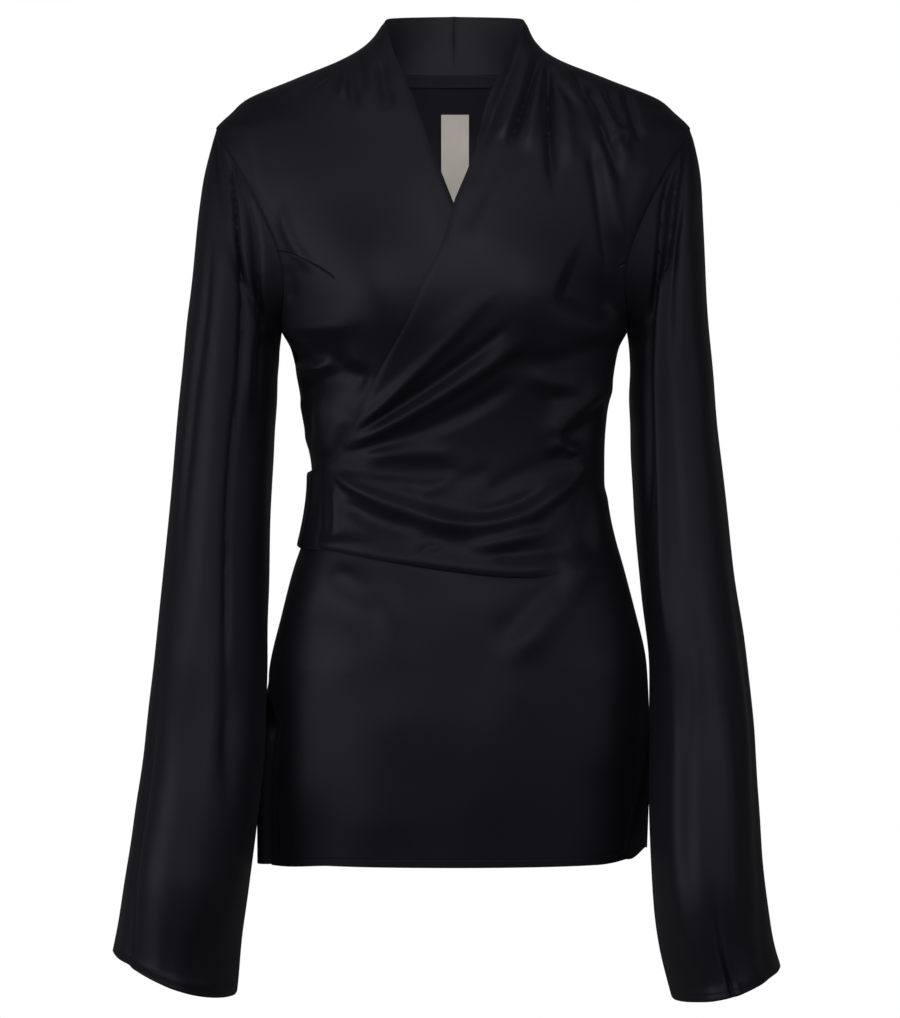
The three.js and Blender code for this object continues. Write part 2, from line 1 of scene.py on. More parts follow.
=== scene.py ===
"""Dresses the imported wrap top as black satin, and lights and frames it as in the reference view.

Lengths are in millimetres until a mesh is made. Angles are in degrees round the body: 0 is the
middle of the front, 90 the side on the viewer's right, -90 the other side and 180 the back.
"""

import bpy
import numpy as np
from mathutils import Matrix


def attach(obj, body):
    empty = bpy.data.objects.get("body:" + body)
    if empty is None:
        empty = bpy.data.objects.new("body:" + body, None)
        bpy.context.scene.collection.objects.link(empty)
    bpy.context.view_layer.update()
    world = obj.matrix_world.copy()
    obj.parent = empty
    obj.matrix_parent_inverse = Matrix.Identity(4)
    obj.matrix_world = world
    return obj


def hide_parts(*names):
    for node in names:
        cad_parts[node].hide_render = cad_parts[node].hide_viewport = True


bl_info = {
    "name": "Wrap Top",
    "version": (1, 0, 0),
    "blender": (4, 5, 0),
    "location": "3D View > Sidebar > Wrap Top",
    "description": "Builds a satin wrap top with a draped front, a sash and bell sleeves",
    "category": "Mesh",
}

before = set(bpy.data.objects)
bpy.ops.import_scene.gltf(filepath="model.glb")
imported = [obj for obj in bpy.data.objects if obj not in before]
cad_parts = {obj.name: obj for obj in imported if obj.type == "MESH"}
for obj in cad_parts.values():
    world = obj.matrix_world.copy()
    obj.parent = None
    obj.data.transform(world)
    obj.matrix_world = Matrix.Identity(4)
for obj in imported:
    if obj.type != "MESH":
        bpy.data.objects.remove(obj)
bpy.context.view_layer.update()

MM = 0.001
FULL_TURN = 6.2832

# The body's form: the power of its rounded oval, and the fullness at the bust.
ROUNDNESS = 2.3
BUST_LEVEL, BUST_TALL = -200, 58
BUST_SIDE, BUST_WIDE, BUST_DEEP = 70, 52, 19

# Heights of the hems, of the neck seam and of the collar's top edge.
HEM, BACK_HEM = -664.0, -672.0
NECK_POINT, NECK_DIP = 12.0, 9.0
COLLAR_FRONT, COLLAR_BACK = 38.0, 53.5

# The armholes: top, bottom, how many degrees they reach in from the side seam and the power of
# their rounded oval; and the gap between two pieces at a seam.
ARMHOLE_TOP, ARMHOLE_BOTTOM = -50.0, -220.0
ARMHOLE_MIDDLE = (ARMHOLE_TOP + ARMHOLE_BOTTOM) / 2
ARMHOLE_HALF = (ARMHOLE_TOP - ARMHOLE_BOTTOM) / 2
ARMHOLE_TURN = {"front": 36.0, "back": 33.0}
ARMHOLE_ROUNDNESS = 2.2
SEAM = 0.1

# The vents on the left (-1) and on the right (1): height of the top, how many degrees the front's
# edge turns away, and over what height. The back's edge has a flap at the left one.
VENTS = {-1: (-504, 27, 50), 1: (-520, 31, 150)}
FLAP, FLAP_TURN = 17, 68
BELOW_VENTS = -500

# The wrap: step between the fronts, the point where the folds meet, the seam with the sash, the
# end of the slash, how far cloth runs on under the drape and how deep the under front is sunk.
LAP = 2.4
PINCH = (-98, -336)
SASH_JOINT = -110.0
SLASH_END = 93.0
UNDERLAP = 12.0
SUNK = 3.8

# Rows of the grids over the shoulder and up the collar, and the lowest row of each front.
SHOULDER_LEVELS = [-48.6, -42, -32, -22, -12, 0]
COLLAR_LEVELS = [NECK_POINT + 0.05, 21, 30, COLLAR_FRONT]
OVER_BASE, UNDER_BASE = -417.0, -405.0

# What the grids carry for the stitches, in metres, and the values away from any stitched edge.
OFF_EDGE = {"edge": 1.0, "run": 0.0, "dart": 1.0}

# In metres: the stitches' distance from the edge, half widths of the thread and of a dart's
# groove. The stitches' wave turns by so many radians a metre.
STITCH_LINE, THREAD, GROOVE = 0.0066, 0.0007, 0.0011
STITCH_WAVE = 2100.0
SATIN_THREADS = 2600.0
SHEEN_TINT = (0.87, 0.83, 1.0)

# The reference view: its width in pixels and the size of a pixel.
VIEW_WIDTH, PIXEL = 900, 0.845
SENSOR = 36.0


def table(columns, *rows):
    """A short table with named columns."""
    return np.array([tuple(map(float, row)) for row in rows],
                    dtype=[(name, float) for name in columns.split()])


# Level sections of the body: half widths to each side, depth to the front and to the back.
SECTIONS = table(
    "z left right front back",
    (-664, 165, 163, 104, 108),
    (-604, 166, 165, 107, 112),
    (-554, 161, 165, 108, 112),
    (-500, 155, 162, 106, 107),
    (-462, 146, 154, 103, 100),
    (-423, 136, 144, 98, 91),
    (-395, 127, 136, 94, 85),
    (-361, 121, 128, 91, 80),
    (-335, 120.5, 127, 90, 79),
    (-304, 126, 128, 93, 82),
    (-270, 131, 133, 98, 88),
    (-236, 138, 139, 103, 95),
    (-220, 146.5, 147, 105, 98),
    (-190, 157, 157, 107, 101),
    (-156, 174, 173, 106, 103),
    (-127, 190, 188, 101, 101),
    (-100, 201, 199, 94, 97),
    (-76, 205, 203, 86, 91),
    (-60, 204, 202.5, 80, 86),
    (-50, 201, 199.5, 76, 83),
    (-38, 189, 187, 71, 78),
    (-25, 174, 171, 65, 72),
    (-9, 136, 131, 58, 65),
    (7, 97, 90, 50, 60),
    (21, 74, 71, 44, 61),
    (38, 61, 62, 40, 63),
    (55, 58, 59, 38, 65),
)

# The over front's free edge, up the V neck to the collar.
WRAP_EDGE = table(
    "z x",
    (-440, -110), (-355, -110), (-343, -109), (-336, -104.5), (-327, -95), (-308, -86.5),
    (-280, -71.5), (-257, -60.5), (-217, -38), (-177, -19.5), (-152, -9), (-119, 0), (-95, 10),
    (-70, 19), (-33, 27), (-17, 34), (-3, 42), (13, 52), (38, 60),
)

# The under front's edge, which shows only at the neck.
UNDER_EDGE = table(
    "z x",
    (-440, 128), (-345, 122), (-325, 106), (-281, 75), (-228, 46), (-170, 20), (-116, -2),
    (-93, -11), (-70, -20), (-33, -32.5), (-8, -42.5), (9, -50), (38, -59),
)

# The drape's lower edge, where it meets the skirt.
LOWER_EDGE = table(
    "x z",
    (-140, -401), (-111, -405), (-71, -412), (-6, -422), (48, -427), (93, -423), (145, -416),
)

# A fold: start, middle and end of its crest, half widths above and below it, and height.
BOW_COLUMNS = "x0 z0 xm zm x1 z1 above below high"

# Folds of the drape, most of which run from the pinch across the over front.
DRAPE = table(
    BOW_COLUMNS,
    (-87, -314, -30, -256, 32, -195, 9, 6, 5.5),
    (-77, -297, -31, -251, 29, -200, 6, 6, -2.5),
    (-83, -309, -18, -270, 46, -221, 5, 5, -4.5),
    (-87, -319, -14, -280, 60, -232, 8, 6, 5.5),
    (-90, -325, -6, -299, 54, -263, 6, 6, -3.5),
    (34, -256, 80, -246, 137, -228, 9, 9, -3.5),
    (62, -247, 99, -238, 139, -221, 9, 7, 2.5),
    (108, -266, 84, -269, 60, -262, 7, 7, 2.0),
    (110, -277, 94, -281, 78, -276, 6, 6, -1.4),
    (134, -266, 99, -289, 76, -319, 11, 8, 6.0),
    (133, -281, 108, -302, 88, -319, 7, 7, -3.6),
    (74, -326, 89, -318, 104, -329, 6, 6, 4.2),
    (104, -327, 97, -346, 58, -367, 8, 7, 5.0),
    (78, -351, 50, -367, 11, -377, 5, 6, -2.4),
    (84, -332, 50, -345, 23, -363, 8, 8, -2.0),
    (-74, -340, -34, -341, 10, -342, 8, 8, -2.4),
    (-73, -328, -38, -325, 1, -326, 6, 6, 2.2),
    (-4, -352, 13, -346, 30, -337, 7, 7, -1.6),
    (-32, -364, -14, -352, 3, -342, 6, 6, 1.5),
    (-99, -341, -55, -366, 10, -385, 9, 7, 6.0),
    (-35, -380, 40, -381, 97, -350, 8, 8, 6.0),
    (-89, -364, -67, -379, -30, -390, 6, 8, -3.5),
    (-104, -400, -82, -399, -58, -402, 7, 7, 1.4),
    (10, -402, 62, -392, 110, -365, 7, 6, 4.5),
    (106, -362, 88, -380, 54, -388, 5, 6, -3.0),
    (98, -403, 62, -408, 28, -408, 6, 5, -2.5),
    (-29, -411, -20, -403, -9, -403, 4, 4, 1.8),
    (-98, -340, -57, -349, -18, -353, 6, 6, 1.8),
    (124, -352, 121, -378, 116, -408, 9, 9, 2.2),
    (112, -356, 111, -380, 106, -406, 8, 8, -1.6),
    (-98, -350, -96, -372, -98, -394, 4, 4, 2.2),
    (-106, -346, -106, -371, -105, -398, 5, 5, -2.6),
)

# Pleats and gathers that hang from the shoulder seam on the wrapped side.
SHOULDER = table(
    BOW_COLUMNS,
    (57, 20, 40, -23, 22, -74, 5, 5, -4.4),
    (34, -38, 21, -76, 13, -108, 5, 6, -1.4),
    (63, -4, 50, -40, 40, -66, 6, 5, 3.0),
    (74, 14, 57, -36, 45, -72, 4, 4, -6.5),
    (72, -4, 66, -42, 60, -76, 5, 6, 2.6),
    (80, 4, 78, -42, 82, -108, 4, 4, -6.0),
    (88, -8, 92, -48, 96, -90, 7, 7, 2.4),
    (84, -14, 94, -28, 102, -42, 4, 4, -3.4),
    (100, -8, 120, -46, 136, -100, 4, 4, -6.5),
    (110, -16, 129, -45, 145, -92, 6, 6, 3.0),
    (114, -68, 119, -112, 132, -182, 9, 5, -4.2),
    (122, -68, 128, -112, 142, -168, 7, 7, 3.6),
    (84, -188, 112, -198, 144, -206, 36, 14, -8.5),
    (129, -18, 132, -35, 141, -54, 4, 4, -3.4),
    (143, -20, 148, -42, 154, -66, 4, 4, -3.6),
    (131, -62, 137, -63, 144, -65, 6, 6, -2.2),
    (56, -70, 30, -122, 12, -160, 8, 9, 1.6),
    (160, -70, 154, -110, 150, -150, 9, 9, 1.8),
)

# Folds of the skirt: the soft ones from the slash and the long shallow ones.
SKIRT = table(
    BOW_COLUMNS,
    (114, -404, 84, -448, 42, -498, 14, 13, 6.0),
    (92, -422, 64, -456, 30, -480, 13, 15, -3.6),
    (-100, -418, -74, -436, -40, -472, 14, 14, 2.8),
    (-114, -438, -86, -454, -50, -462, 14, 20, -2.4),
    (-96, -476, -66, -482, -34, -480, 22, 22, 1.4),
    (60, -500, 40, -560, 30, -640, 30, 30, 2.4),
    (-60, -520, -66, -590, -58, -650, 30, 30, 2.0),
    (120, -480, 126, -540, 128, -600, 20, 20, 2.2),
    (-120, -500, -124, -560, -120, -640, 18, 18, 2.0),
)

# Folds of the under front: below the bust, at the armhole and at the shoulder.
UNDER = table(
    BOW_COLUMNS,
    (-142, -224, -114, -222, -76, -220, 12, 8, 3.4),
    (-144, -240, -116, -248, -84, -252, 14, 6, -6.2),
    (-132, -256, -118, -254, -102, -250, 5, 4, 3.4),
    (-128, -276, -98, -261, -62, -270, 7, 16, -7.8),
    (-116, -268, -123, -288, -119, -316, 5, 5, -3.6),
    (-86, -296, -94, -310, -104, -330, 18, 18, 3.0),
    (-124, -276, -128, -297, -125, -320, 5, 5, 2.4),
    (-141, -120, -133, -150, -113, -175, 4, 6, 2.6),
    (-144, -172, -139, -186, -137, -200, 8, 9, -2.4),
    (-96, 4, -97, -9, -99, -24, 4, 4, -4.0),
    (-88, 2, -85, -18, -82, -40, 4, 4, -3.4),
    (-81, 10, -78, -6, -75, -26, 4, 4, -3.4),
    (-62, 4, -58, -17, -54, -40, 5, 5, -4.0),
    (-103, -5, -116, -15, -134, -26, 4, 4, -2.8),
    (-92, 2, -92, -12, -92, -30, 4, 4, 2.0),
    (-170, -44, -164, -82, -158, -126, 10, 10, 1.8),
    (-40, -60, -20, -120, -4, -160, 12, 10, 1.4),
)

# Shallow folds of the back at the waist and below the shoulders.
BACK_FOLDS = table(
    BOW_COLUMNS,
    (-120, -300, -60, -322, -8, -326, 9, 7, 3.6),
    (118, -292, 66, -318, 4, -330, 9, 7, 3.8),
    (-122, -270, -80, -290, -30, -296, 9, 8, 2.6),
    (124, -262, 84, -280, 40, -290, 9, 8, 2.8),
    (-126, -420, -84, -432, -40, -430, 9, 8, 2.4),
    (120, -416, 84, -434, 30, -436, 10, 8, 3.0),
    (-140, -190, -112, -236, -96, -300, 10, 10, 3.0),
    (142, -184, 116, -230, 98, -292, 10, 10, 3.2),
    (-60, -440, -70, -540, -64, -650, 20, 20, 2.6),
    (52, -440, 66, -540, 60, -650, 20, 20, 2.4),
    (-150, -70, -120, -120, -104, -190, 14, 14, 2.4),
    (148, -66, 122, -118, 108, -186, 14, 14, 2.6),
)

# Upright ridges of the sash: angle round the body, half width in degrees and height.
SASH = table(
    "angle wide high",
    (-71, 4.4, 2.8), (-83, 4.8, 2.0), (-94, 5.0, 2.4), (-108, 5.5, 2.0), (-123, 5.5, 2.6),
    (-139, 6.0, 1.8), (-156, 6.5, 2.4), (-173, 6.0, 1.6),
)

# Darts from the sides to the bust, with the three points that their seams pass.
DARTS = table(
    "x0 z0 xm zm x1 z1",
    (-149, -158, -126, -164, -97, -183),
    (137, -172, 142, -168, 152, -165),
)

# Sections of the sleeves: outer and inner point, middle and half width from front to back.
SLEEVE_COLUMNS = "ox oz ix iz y d"
LEFT_SLEEVE = table(
    SLEEVE_COLUMNS,
    (-209, -82, -147.5, -238, -1, 57),
    (-215, -118, -149, -258, -2, 60),
    (-222, -185, -151, -292, -4, 62),
    (-228, -240, -153, -328, -5, 62),
    (-235, -318, -155, -375, -8, 62),
    (-243, -412, -156, -440, -14, 64),
    (-249, -480, -156.5, -495, -26, 66),
    (-255, -545, -157, -550, -42, 70),
    (-262, -606, -161, -610, -51, 75),
    (-270, -660, -169, -675, -56, 79),
    (-278, -710, -176, -728, -58, 83),
    (-283, -738, -180, -773, -60, 86),
)
RIGHT_SLEEVE = table(
    SLEEVE_COLUMNS,
    (207, -82, 148, -238, -1, 57),
    (210, -125, 148.5, -260, -2, 60),
    (213, -190, 149.5, -294, -4, 62),
    (218, -255, 151, -332, -5, 62),
    (224, -320, 153.5, -378, -8, 62),
    (234, -415, 158, -440, -14, 64),
    (243, -482, 164, -495, -28, 66),
    (249, -545, 164.5, -550, -44, 70),
    (252, -606, 163, -610, -53, 75),
    (256, -665, 164, -680, -57, 79),
    (262, -715, 170, -735, -59, 83),
    (271, -751, 181, -777, -60, 86),
)

# Long folds of the sleeves: angle at the start and end, run along the sleeve, half width, height.
FOLD_COLUMNS = "a0 a1 start end wide high"
LEFT_FOLDS = table(
    FOLD_COLUMNS,
    (98, 108, -0.06, 0.62, 4, -3.4),
    (112, 118, -0.04, 0.34, 7, 3.0),
    (126, 134, -0.04, 0.28, 6, -3.6),
    (64, 70, -0.08, 0.08, 5, -2.4),
    (76, 84, 0.08, 0.60, 16, 3.0),
    (54, 52, 0.16, 0.50, 8, -2.6),
    (112, 124, 0.60, 0.76, 7, -3.2),
    (98, 104, 0.58, 0.80, 10, 2.4),
    (37, 35, 0.62, 1.0, 7, -2.8),
    (66, 70, 0.64, 1.0, 20, 2.6),
    (116, 102, 0.70, 1.0, 15, 2.8),
    (150, 140, 0.20, 0.90, 18, 2.2),
    (206, 214, 0.10, 0.70, 16, 2.6),
    (236, 250, 0.05, 0.85, 17, 3.2),
    (262, 268, 0.30, 1.0, 11, -2.2),
    (292, 300, 0.20, 1.0, 17, 3.0),
    (326, 330, 0.40, 1.0, 16, 2.2),
)
RIGHT_FOLDS = table(
    FOLD_COLUMNS,
    (92, 131, -0.06, 0.56, 7, 4.4),
    (106, 144, -0.06, 0.46, 8, -4.4),
    (79, 104, -0.06, 0.50, 9, -2.6),
    (62, 72, 0.06, 0.66, 17, 2.8),
    (44, 50, 0.18, 0.80, 16, 2.0),
    (108, 112, 0.56, 0.84, 8, -3.4),
    (126, 122, 0.56, 1.0, 14, 3.0),
    (74, 71, 0.62, 0.90, 11, 3.2),
    (90, 92, 0.68, 1.0, 9, -2.0),
    (96, 94, 0.84, 1.0, 6, -2.4),
    (84, 82, 0.86, 1.0, 8, 2.2),
    (30, 28, 0.50, 1.0, 11, -2.0),
    (206, 200, 0.15, 0.80, 16, 2.4),
    (244, 232, 0.05, 0.90, 17, 3.2),
    (264, 258, 0.20, 1.0, 11, -2.0),
    (304, 292, 0.10, 1.0, 17, 3.0),
    (334, 330, 0.40, 1.0, 15, 2.2),
)


def ease(value):
    """A smooth step from 0 to 1: three times the square less twice the cube."""
    t = np.clip(value, 0.0, 1.0)
    return t * t * (3 - 2 * t)


def bell(value):
    """A bell curve, 1 in its middle: e to the power of minus the square."""
    return np.exp(-value * value)


def mix(a, b, t):
    """The value that lies a share t of the way from a to b."""
    return a + (b - a) * t


def smooth(rows, column, at, key="z"):
    """The smooth curve through a table's column: cubic pieces whose slopes span both neighbours."""
    xs, ys = rows[key], rows[column]
    ids = np.arange(len(xs))
    low, high = np.maximum(ids - 1, 0), np.minimum(ids + 1, len(xs) - 1)
    slope = (ys[high] - ys[low]) / (xs[high] - xs[low])
    i = np.clip(np.searchsorted(xs, at, side="left") - 1, 0, len(xs) - 2)
    span = xs[i + 1] - xs[i]
    t = np.clip((at - xs[i]) / span, 0, 1)
    return ((2 * t**3 - 3 * t**2 + 1) * ys[i] + (t**3 - 2 * t**2 + t) * span * slope[i]
            + (3 * t**2 - 2 * t**3) * ys[i + 1] + (t**3 - t**2) * span * slope[i + 1])


def half_width(z, right):
    """Half width of the body at a height, to the right where right is true and else to the left."""
    return np.where(right, smooth(SECTIONS, "right", z), smooth(SECTIONS, "left", z))


def form(angle, z):
    """A point of the body: a rounded oval of four half widths, with fullness at the bust.

    The fullness is a bell over the height, times two bells across and the turn to the front.
    """
    sine, cosine = np.sin(np.radians(angle)), np.cos(np.radians(angle))
    reach = (np.abs(sine) ** ROUNDNESS + np.abs(cosine) ** ROUNDNESS) ** (-1 / ROUNDNESS)
    x = sine * reach * half_width(z, sine > 0)
    depth = np.where(cosine > 0, smooth(SECTIONS, "front", z), smooth(SECTIONS, "back", z))
    full = bell((z - BUST_LEVEL) / BUST_TALL) * np.maximum(cosine, 0) * reach * BUST_DEEP
    across = bell((x - BUST_SIDE) / BUST_WIDE) + bell((x + BUST_SIDE) / BUST_WIDE)
    y = -cosine * reach * depth - full * across
    return np.stack([x, y, np.broadcast_to(z, x.shape)], axis=-1)


def outward(surface, a, b, step_a, step_b):
    """The direction square to a surface: the cross product of small steps along it both ways."""
    across = surface(a + step_a, b) - surface(a - step_a, b)
    up = surface(a, b + step_b) - surface(a, b - step_b)
    way = np.cross(across, up)
    return way / np.linalg.norm(way, axis=-1, keepdims=True)


def off_body(angle, z, distance):
    """The body's form moved out by a distance that may differ from point to point."""
    return form(angle, z) + outward(form, angle, z, 0.1, 0.3) * np.asarray(distance)[..., None]


def angle_at(x, z):
    """The angle at which the body reaches x at a height: the rounded oval turned round."""
    share = np.minimum(np.abs(x) / half_width(z, x > 0), 0.999)
    rest = (1 - share**ROUNDNESS) ** (1 / ROUNDNESS)
    return np.sign(x) * np.degrees(np.arctan2(share, rest))


def arc_length(degrees, z, column):
    """Length of an arc on the body at a height, with the depth of its front or back as radius."""
    return np.radians(degrees) * smooth(SECTIONS, column, z)


def side_angle(z, column):
    """The angle of the side or of the armhole, measured from the middle of the front or back.

    The armhole is half a rounded oval, and elsewhere half the seam's gap is left at the side.
    """
    share = np.minimum(1, np.abs((z - ARMHOLE_MIDDLE) / ARMHOLE_HALF))
    turn = ARMHOLE_TURN[column] * (1 - share**ARMHOLE_ROUNDNESS) ** (1 / ARMHOLE_ROUNDNESS)
    return 90 - np.maximum(turn, np.degrees(SEAM / 2 / smooth(SECTIONS, column, z)))


def front_limit(z, side):
    """Where a front panel ends; down the vent its edge turns away by a quarter of a sine wave."""
    top, turn, run = VENTS[side]
    return side_angle(z, "front") - turn * np.sin(np.clip((top - z) / run, 0, 1) * np.pi / 2)


def vent_lap(z):
    """How many degrees the back runs on behind the front's edge, eased in down the left vent."""
    top, turn, run = VENTS[-1]
    return turn * ease((top - 10 - z) / run)


def neck_line(angle):
    """Height of the neck seam behind the shoulders: it dips as a sine to the middle of the back."""
    return NECK_POINT - NECK_DIP * np.sin(np.radians(np.abs(angle) - 90))


def back_neck(angle):
    """The neck seam's height for the angles of the back, which run from 90 to 270."""
    return neck_line(180 - np.abs(angle - 180))


def collar_top(angle):
    """Height of the collar's top edge, which climbs from the fronts to the middle of the back."""
    past = np.clip(np.abs(angle) - 90, 0, 90)
    share = np.sin(np.radians(past)) ** 0.6 * ease((past + 4) / 22)
    return mix(COLLAR_FRONT, COLLAR_BACK, share)


def lower_edge(x):
    """Height of the drape's lower edge: the smooth curve through its table."""
    return smooth(LOWER_EDGE, "z", x, key="x")


def wrap_edge(z):
    """Where the over front's free edge runs: straight lines between its table's points."""
    return np.interp(z, WRAP_EDGE["z"], WRAP_EDGE["x"])


def under_edge(z):
    """Where the under front's hidden edge runs: straight lines between its table's points."""
    return np.interp(z, UNDER_EDGE["z"], UNDER_EDGE["x"])


def bow(row, count=25):
    """Points along the bow through a fold's start, middle and end: a curve of second degree."""
    t = np.linspace(0, 1, count)
    bend_x = 2 * row["xm"] - (row["x0"] + row["x1"]) / 2
    bend_z = 2 * row["zm"] - (row["z0"] + row["z1"]) / 2
    return ((1 - t) ** 2 * row["x0"] + 2 * t * (1 - t) * bend_x + t**2 * row["x1"],
            (1 - t) ** 2 * row["z0"] + 2 * t * (1 - t) * bend_z + t**2 * row["z1"])


def beside_bow(row, x, z, run_on=8):
    """Distance from a bow, the side on which a point lies, and how far along the bow it is.

    It is the least distance from the bow's short lines, of which the first and the last run on.
    """
    line_x, line_z = bow(row)
    last = len(line_x) - 2
    best = np.full(x.shape, np.inf)
    place, side = np.zeros_like(x), np.zeros_like(x)
    for k in range(last + 1):
        dx, dz = line_x[k + 1] - line_x[k], line_z[k + 1] - line_z[k]
        t = ((x - line_x[k]) * dx + (z - line_z[k]) * dz) / (dx**2 + dz**2)
        inner = np.clip(t, -run_on if k == 0 else 0, 1 + run_on if k == last else 1)
        gap = np.hypot(x - line_x[k] - inner * dx, z - line_z[k] - inner * dz)
        nearer = gap < best
        cross = ((z - line_z[k]) * dx - (x - line_x[k]) * dz) * (1 if dx >= 0 else -1)
        best = np.where(nearer, gap, best)
        place = np.where(nearer, (k + inner) / (last + 1), place)
        side = np.where(nearer, cross, side)
    return best, side, place


def folds(rows, x, z, pinch=None):
    """Soft ridges and troughs: each follows a bow through three points and fades at both ends.

    The height falls with the distance from the bow as a bell, with its own width on each side,
    and the folds draw together near the pinch.
    """
    total = np.zeros_like(x)
    for row in rows:
        gap, side, place = beside_bow(row, x, z)
        width = np.where(side > 0, row["above"], row["below"])
        if pinch is not None:
            away = np.hypot(x - pinch[0], z - pinch[1])
            width = np.maximum(width * (0.6 + 0.4 * ease(away / 70)), 3.6)
        taper = ease((place + 0.06) / 0.3) * ease((1.06 - place) / 0.3)
        total += row["high"] * taper * bell(gap / width)
    return total


def dart_gap(x, z):
    """Signed distance in metres from the nearest dart's seam, and 1 past its ends."""
    best = np.ones_like(x)
    for row in DARTS:
        gap, side, place = beside_bow(row, x, z)
        held = np.where((place > 0) & (place < 1), np.sign(side) * gap * MM, 1.0)
        best = np.where(np.abs(held) < np.abs(best), held, best)
    return best


def sway(x, z, seed, waves=7):
    """The slight unevenness of hanging cloth: the mean of a few long waves of unlike direction."""
    draw = np.random.default_rng(seed)
    total = np.zeros_like(x)
    for _ in range(waves):
        turn, wave, start = draw.uniform(0, np.pi), draw.uniform(55, 130), draw.uniform(0, 7)
        total += np.sin((x * np.cos(turn) + z * np.sin(turn)) * 2 * np.pi / wave + start)
    return total / waves


def lap_share(x):
    """The under front's share of the step between the fronts, eased from 0 on the left to 1."""
    return ease((x + 70) / 130)


def seam_dip(distance):
    """Cloth drawn in a little towards a seam, as a bell."""
    return -1.1 * bell(distance / 2.2)


def edge_roll(distance):
    """A front's free edge turned in a little, as a bell."""
    return -1.1 * bell(distance / 2.4)


def collar_seam(angle, z):
    """The collar is drawn in along the back neck and at its own seam behind."""
    behind = ease((np.abs(angle) - 91) / 8)
    middle = arc_length(180 - np.abs(angle), z, "back")
    up = ease((z - NECK_POINT) / 6)
    return behind * (seam_dip(z - neck_line(np.abs(angle))) + seam_dip(middle) * up)


def joined(x):
    """1 where the over front and the skirt are one cloth, eased to 0 where the front hangs free."""
    return ease((x - SLASH_END + 14) / 14)


def gathers(x, z):
    """The drape's folds; a hyperbolic tangent keeps their troughs clear of the under front."""
    start = wrap_edge(z)
    room = -0.9 - SUNK * ease((x - start - 4) / 24) * ease((z - lower_edge(x) - 12) / 14)
    high = folds(DRAPE, x, z, PINCH)
    return np.where(high < 0, room * np.tanh(high / room), high)


def by_joint(x):
    """The cloth drawn in at the seam between the over front and the sash, as a bell."""
    return -0.9 * bell((x - SASH_JOINT) / 4.0)


def over_front(angle, z):
    """The over front lies on the under front, draws into the pinch and rolls at its lower edge."""
    x = form(angle, z)[..., 0]
    ahead = np.abs(angle) <= 90
    to_side = front_limit(z, 1) - angle
    above = z - lower_edge(x)
    end = ease((SLASH_END - x) / 28)
    roll = 2.4 * end * bell((above - 4) / 10)
    tuck = -1.6 * end * bell(above / 2.5)
    rest = folds(SHOULDER, x, z) + folds(SKIRT, x, z) * joined(x)
    wave = 0.5 * sway(x, z, 3) * ease((z + 415) / 40)
    dip = seam_dip(arc_length(to_side, z, "front")) * ease((NECK_POINT - z) / 8)
    edge = edge_roll(x - wrap_edge(z)) * ease((z + 338) / 14) * ahead
    lap = LAP * (1 - lap_share(x)) * ahead
    lift = lap + roll + tuck + ease(to_side / 9) * (gathers(x, z) + rest + wave)
    seams = by_joint(x) * (z < -330)
    return off_body(angle, z, lift + dip + edge + seams + collar_seam(angle, z))


def under_front(angle, z):
    """The under front has its own folds where it shows, and is sunk behind the over front."""
    x = form(angle, z)[..., 0]
    ahead = np.abs(angle) <= 90
    from_side = angle + front_limit(z, -1)
    covered = x - wrap_edge(z)
    hidden = ease((covered - 4) / 26) * ease((-10 - z) / 40)
    free = (1 - ease((covered + 16) / 18)) * ease((z + 340) / 6)
    shown = ease(from_side / 7) * free * (folds(UNDER, x, z) + 0.5 * sway(x, z, 5))
    dip = seam_dip(arc_length(from_side, z, "front")) * ease((NECK_POINT - z) / 8)
    edge = edge_roll(x - under_edge(z)) * ahead
    lap = -LAP * lap_share(x) * ahead
    return off_body(angle, z, shown + lap - SUNK * hidden + edge + dip + collar_seam(angle, z))


def skirt(angle, z):
    """The skirt is tucked behind the drape's edge, and past the slash it is one cloth with it."""
    x = form(angle, z)[..., 0]
    edge = lower_edge(x)
    shown = mix(ease((edge - 2 - z) / 16), 1, joined(x))
    tuck = LAP * lap_share(x) * ease((SLASH_END - x) / 20) * ease((z - edge + 8) / 16)
    to_side = np.where(angle > 0, front_limit(z, 1), front_limit(z, -1)) - np.abs(angle)
    wave = 1.1 * sway(x, z, 9) * ease((edge - z) / 30)
    dip = seam_dip(arc_length(to_side, z, "front")) * ease((z + 520) / 12)
    shape = folds(SKIRT, x, z) * shown + gathers(x, z) * joined(x) + wave
    return off_body(angle, z, ease(to_side / 9) * shape + dip - tuck)


def hem_rise(x, start, span, high):
    """The hem's soft round corner on the right, a power curve from a start where it is level."""
    return high * np.clip((x - start) / span, 0, 1) ** 1.7


def raised(z, corner):
    """Heights with the hem's corners lifted; the lift fades out upwards."""
    return z + corner * ease((-600 - z) / 72)


def back_surface(angle, z):
    """The back has shallow folds that stop at its seams and leave room for the sash.

    Down the left vent its edge bends into a flap that faces forward, so that it shows there.
    """
    x = form(angle, z)[..., 0]
    left = angle > 180
    to_side = side_angle(z, "back") + vent_lap(z) * left - np.abs(angle - 180)
    arc = arc_length(to_side, z, "back")
    below_neck = back_neck(angle) - z
    inside = ease(arc / 14) * ease(below_neck / 12)
    under_sash = ease((z + 412) / 10) * ease((-326 - z) / 10) * ease((angle - 160) / 8)
    shape = (folds(BACK_FOLDS, x, z) + 0.9 * sway(x, z, 12)) * inside * (1 - under_sash)
    dip = seam_dip(arc) * ease((z + 520) / 12) * ease((NECK_POINT - z) / 8)
    dip = dip + seam_dip(below_neck) * ease((arc - 4) / 8)
    vent = ease((-510 - z) / 60) * left
    points = off_body(angle, z, np.minimum(shape, 6) + dip + 3 * vent * bell((arc - 19) / 12))
    flap = np.maximum(0, FLAP - arc)
    flap = flap * ease(flap / 7)
    turn = np.radians(FLAP_TURN) * vent
    return points + np.stack([flap * np.sin(turn), flap * (1 - np.cos(turn)), 0 * z], axis=-1)


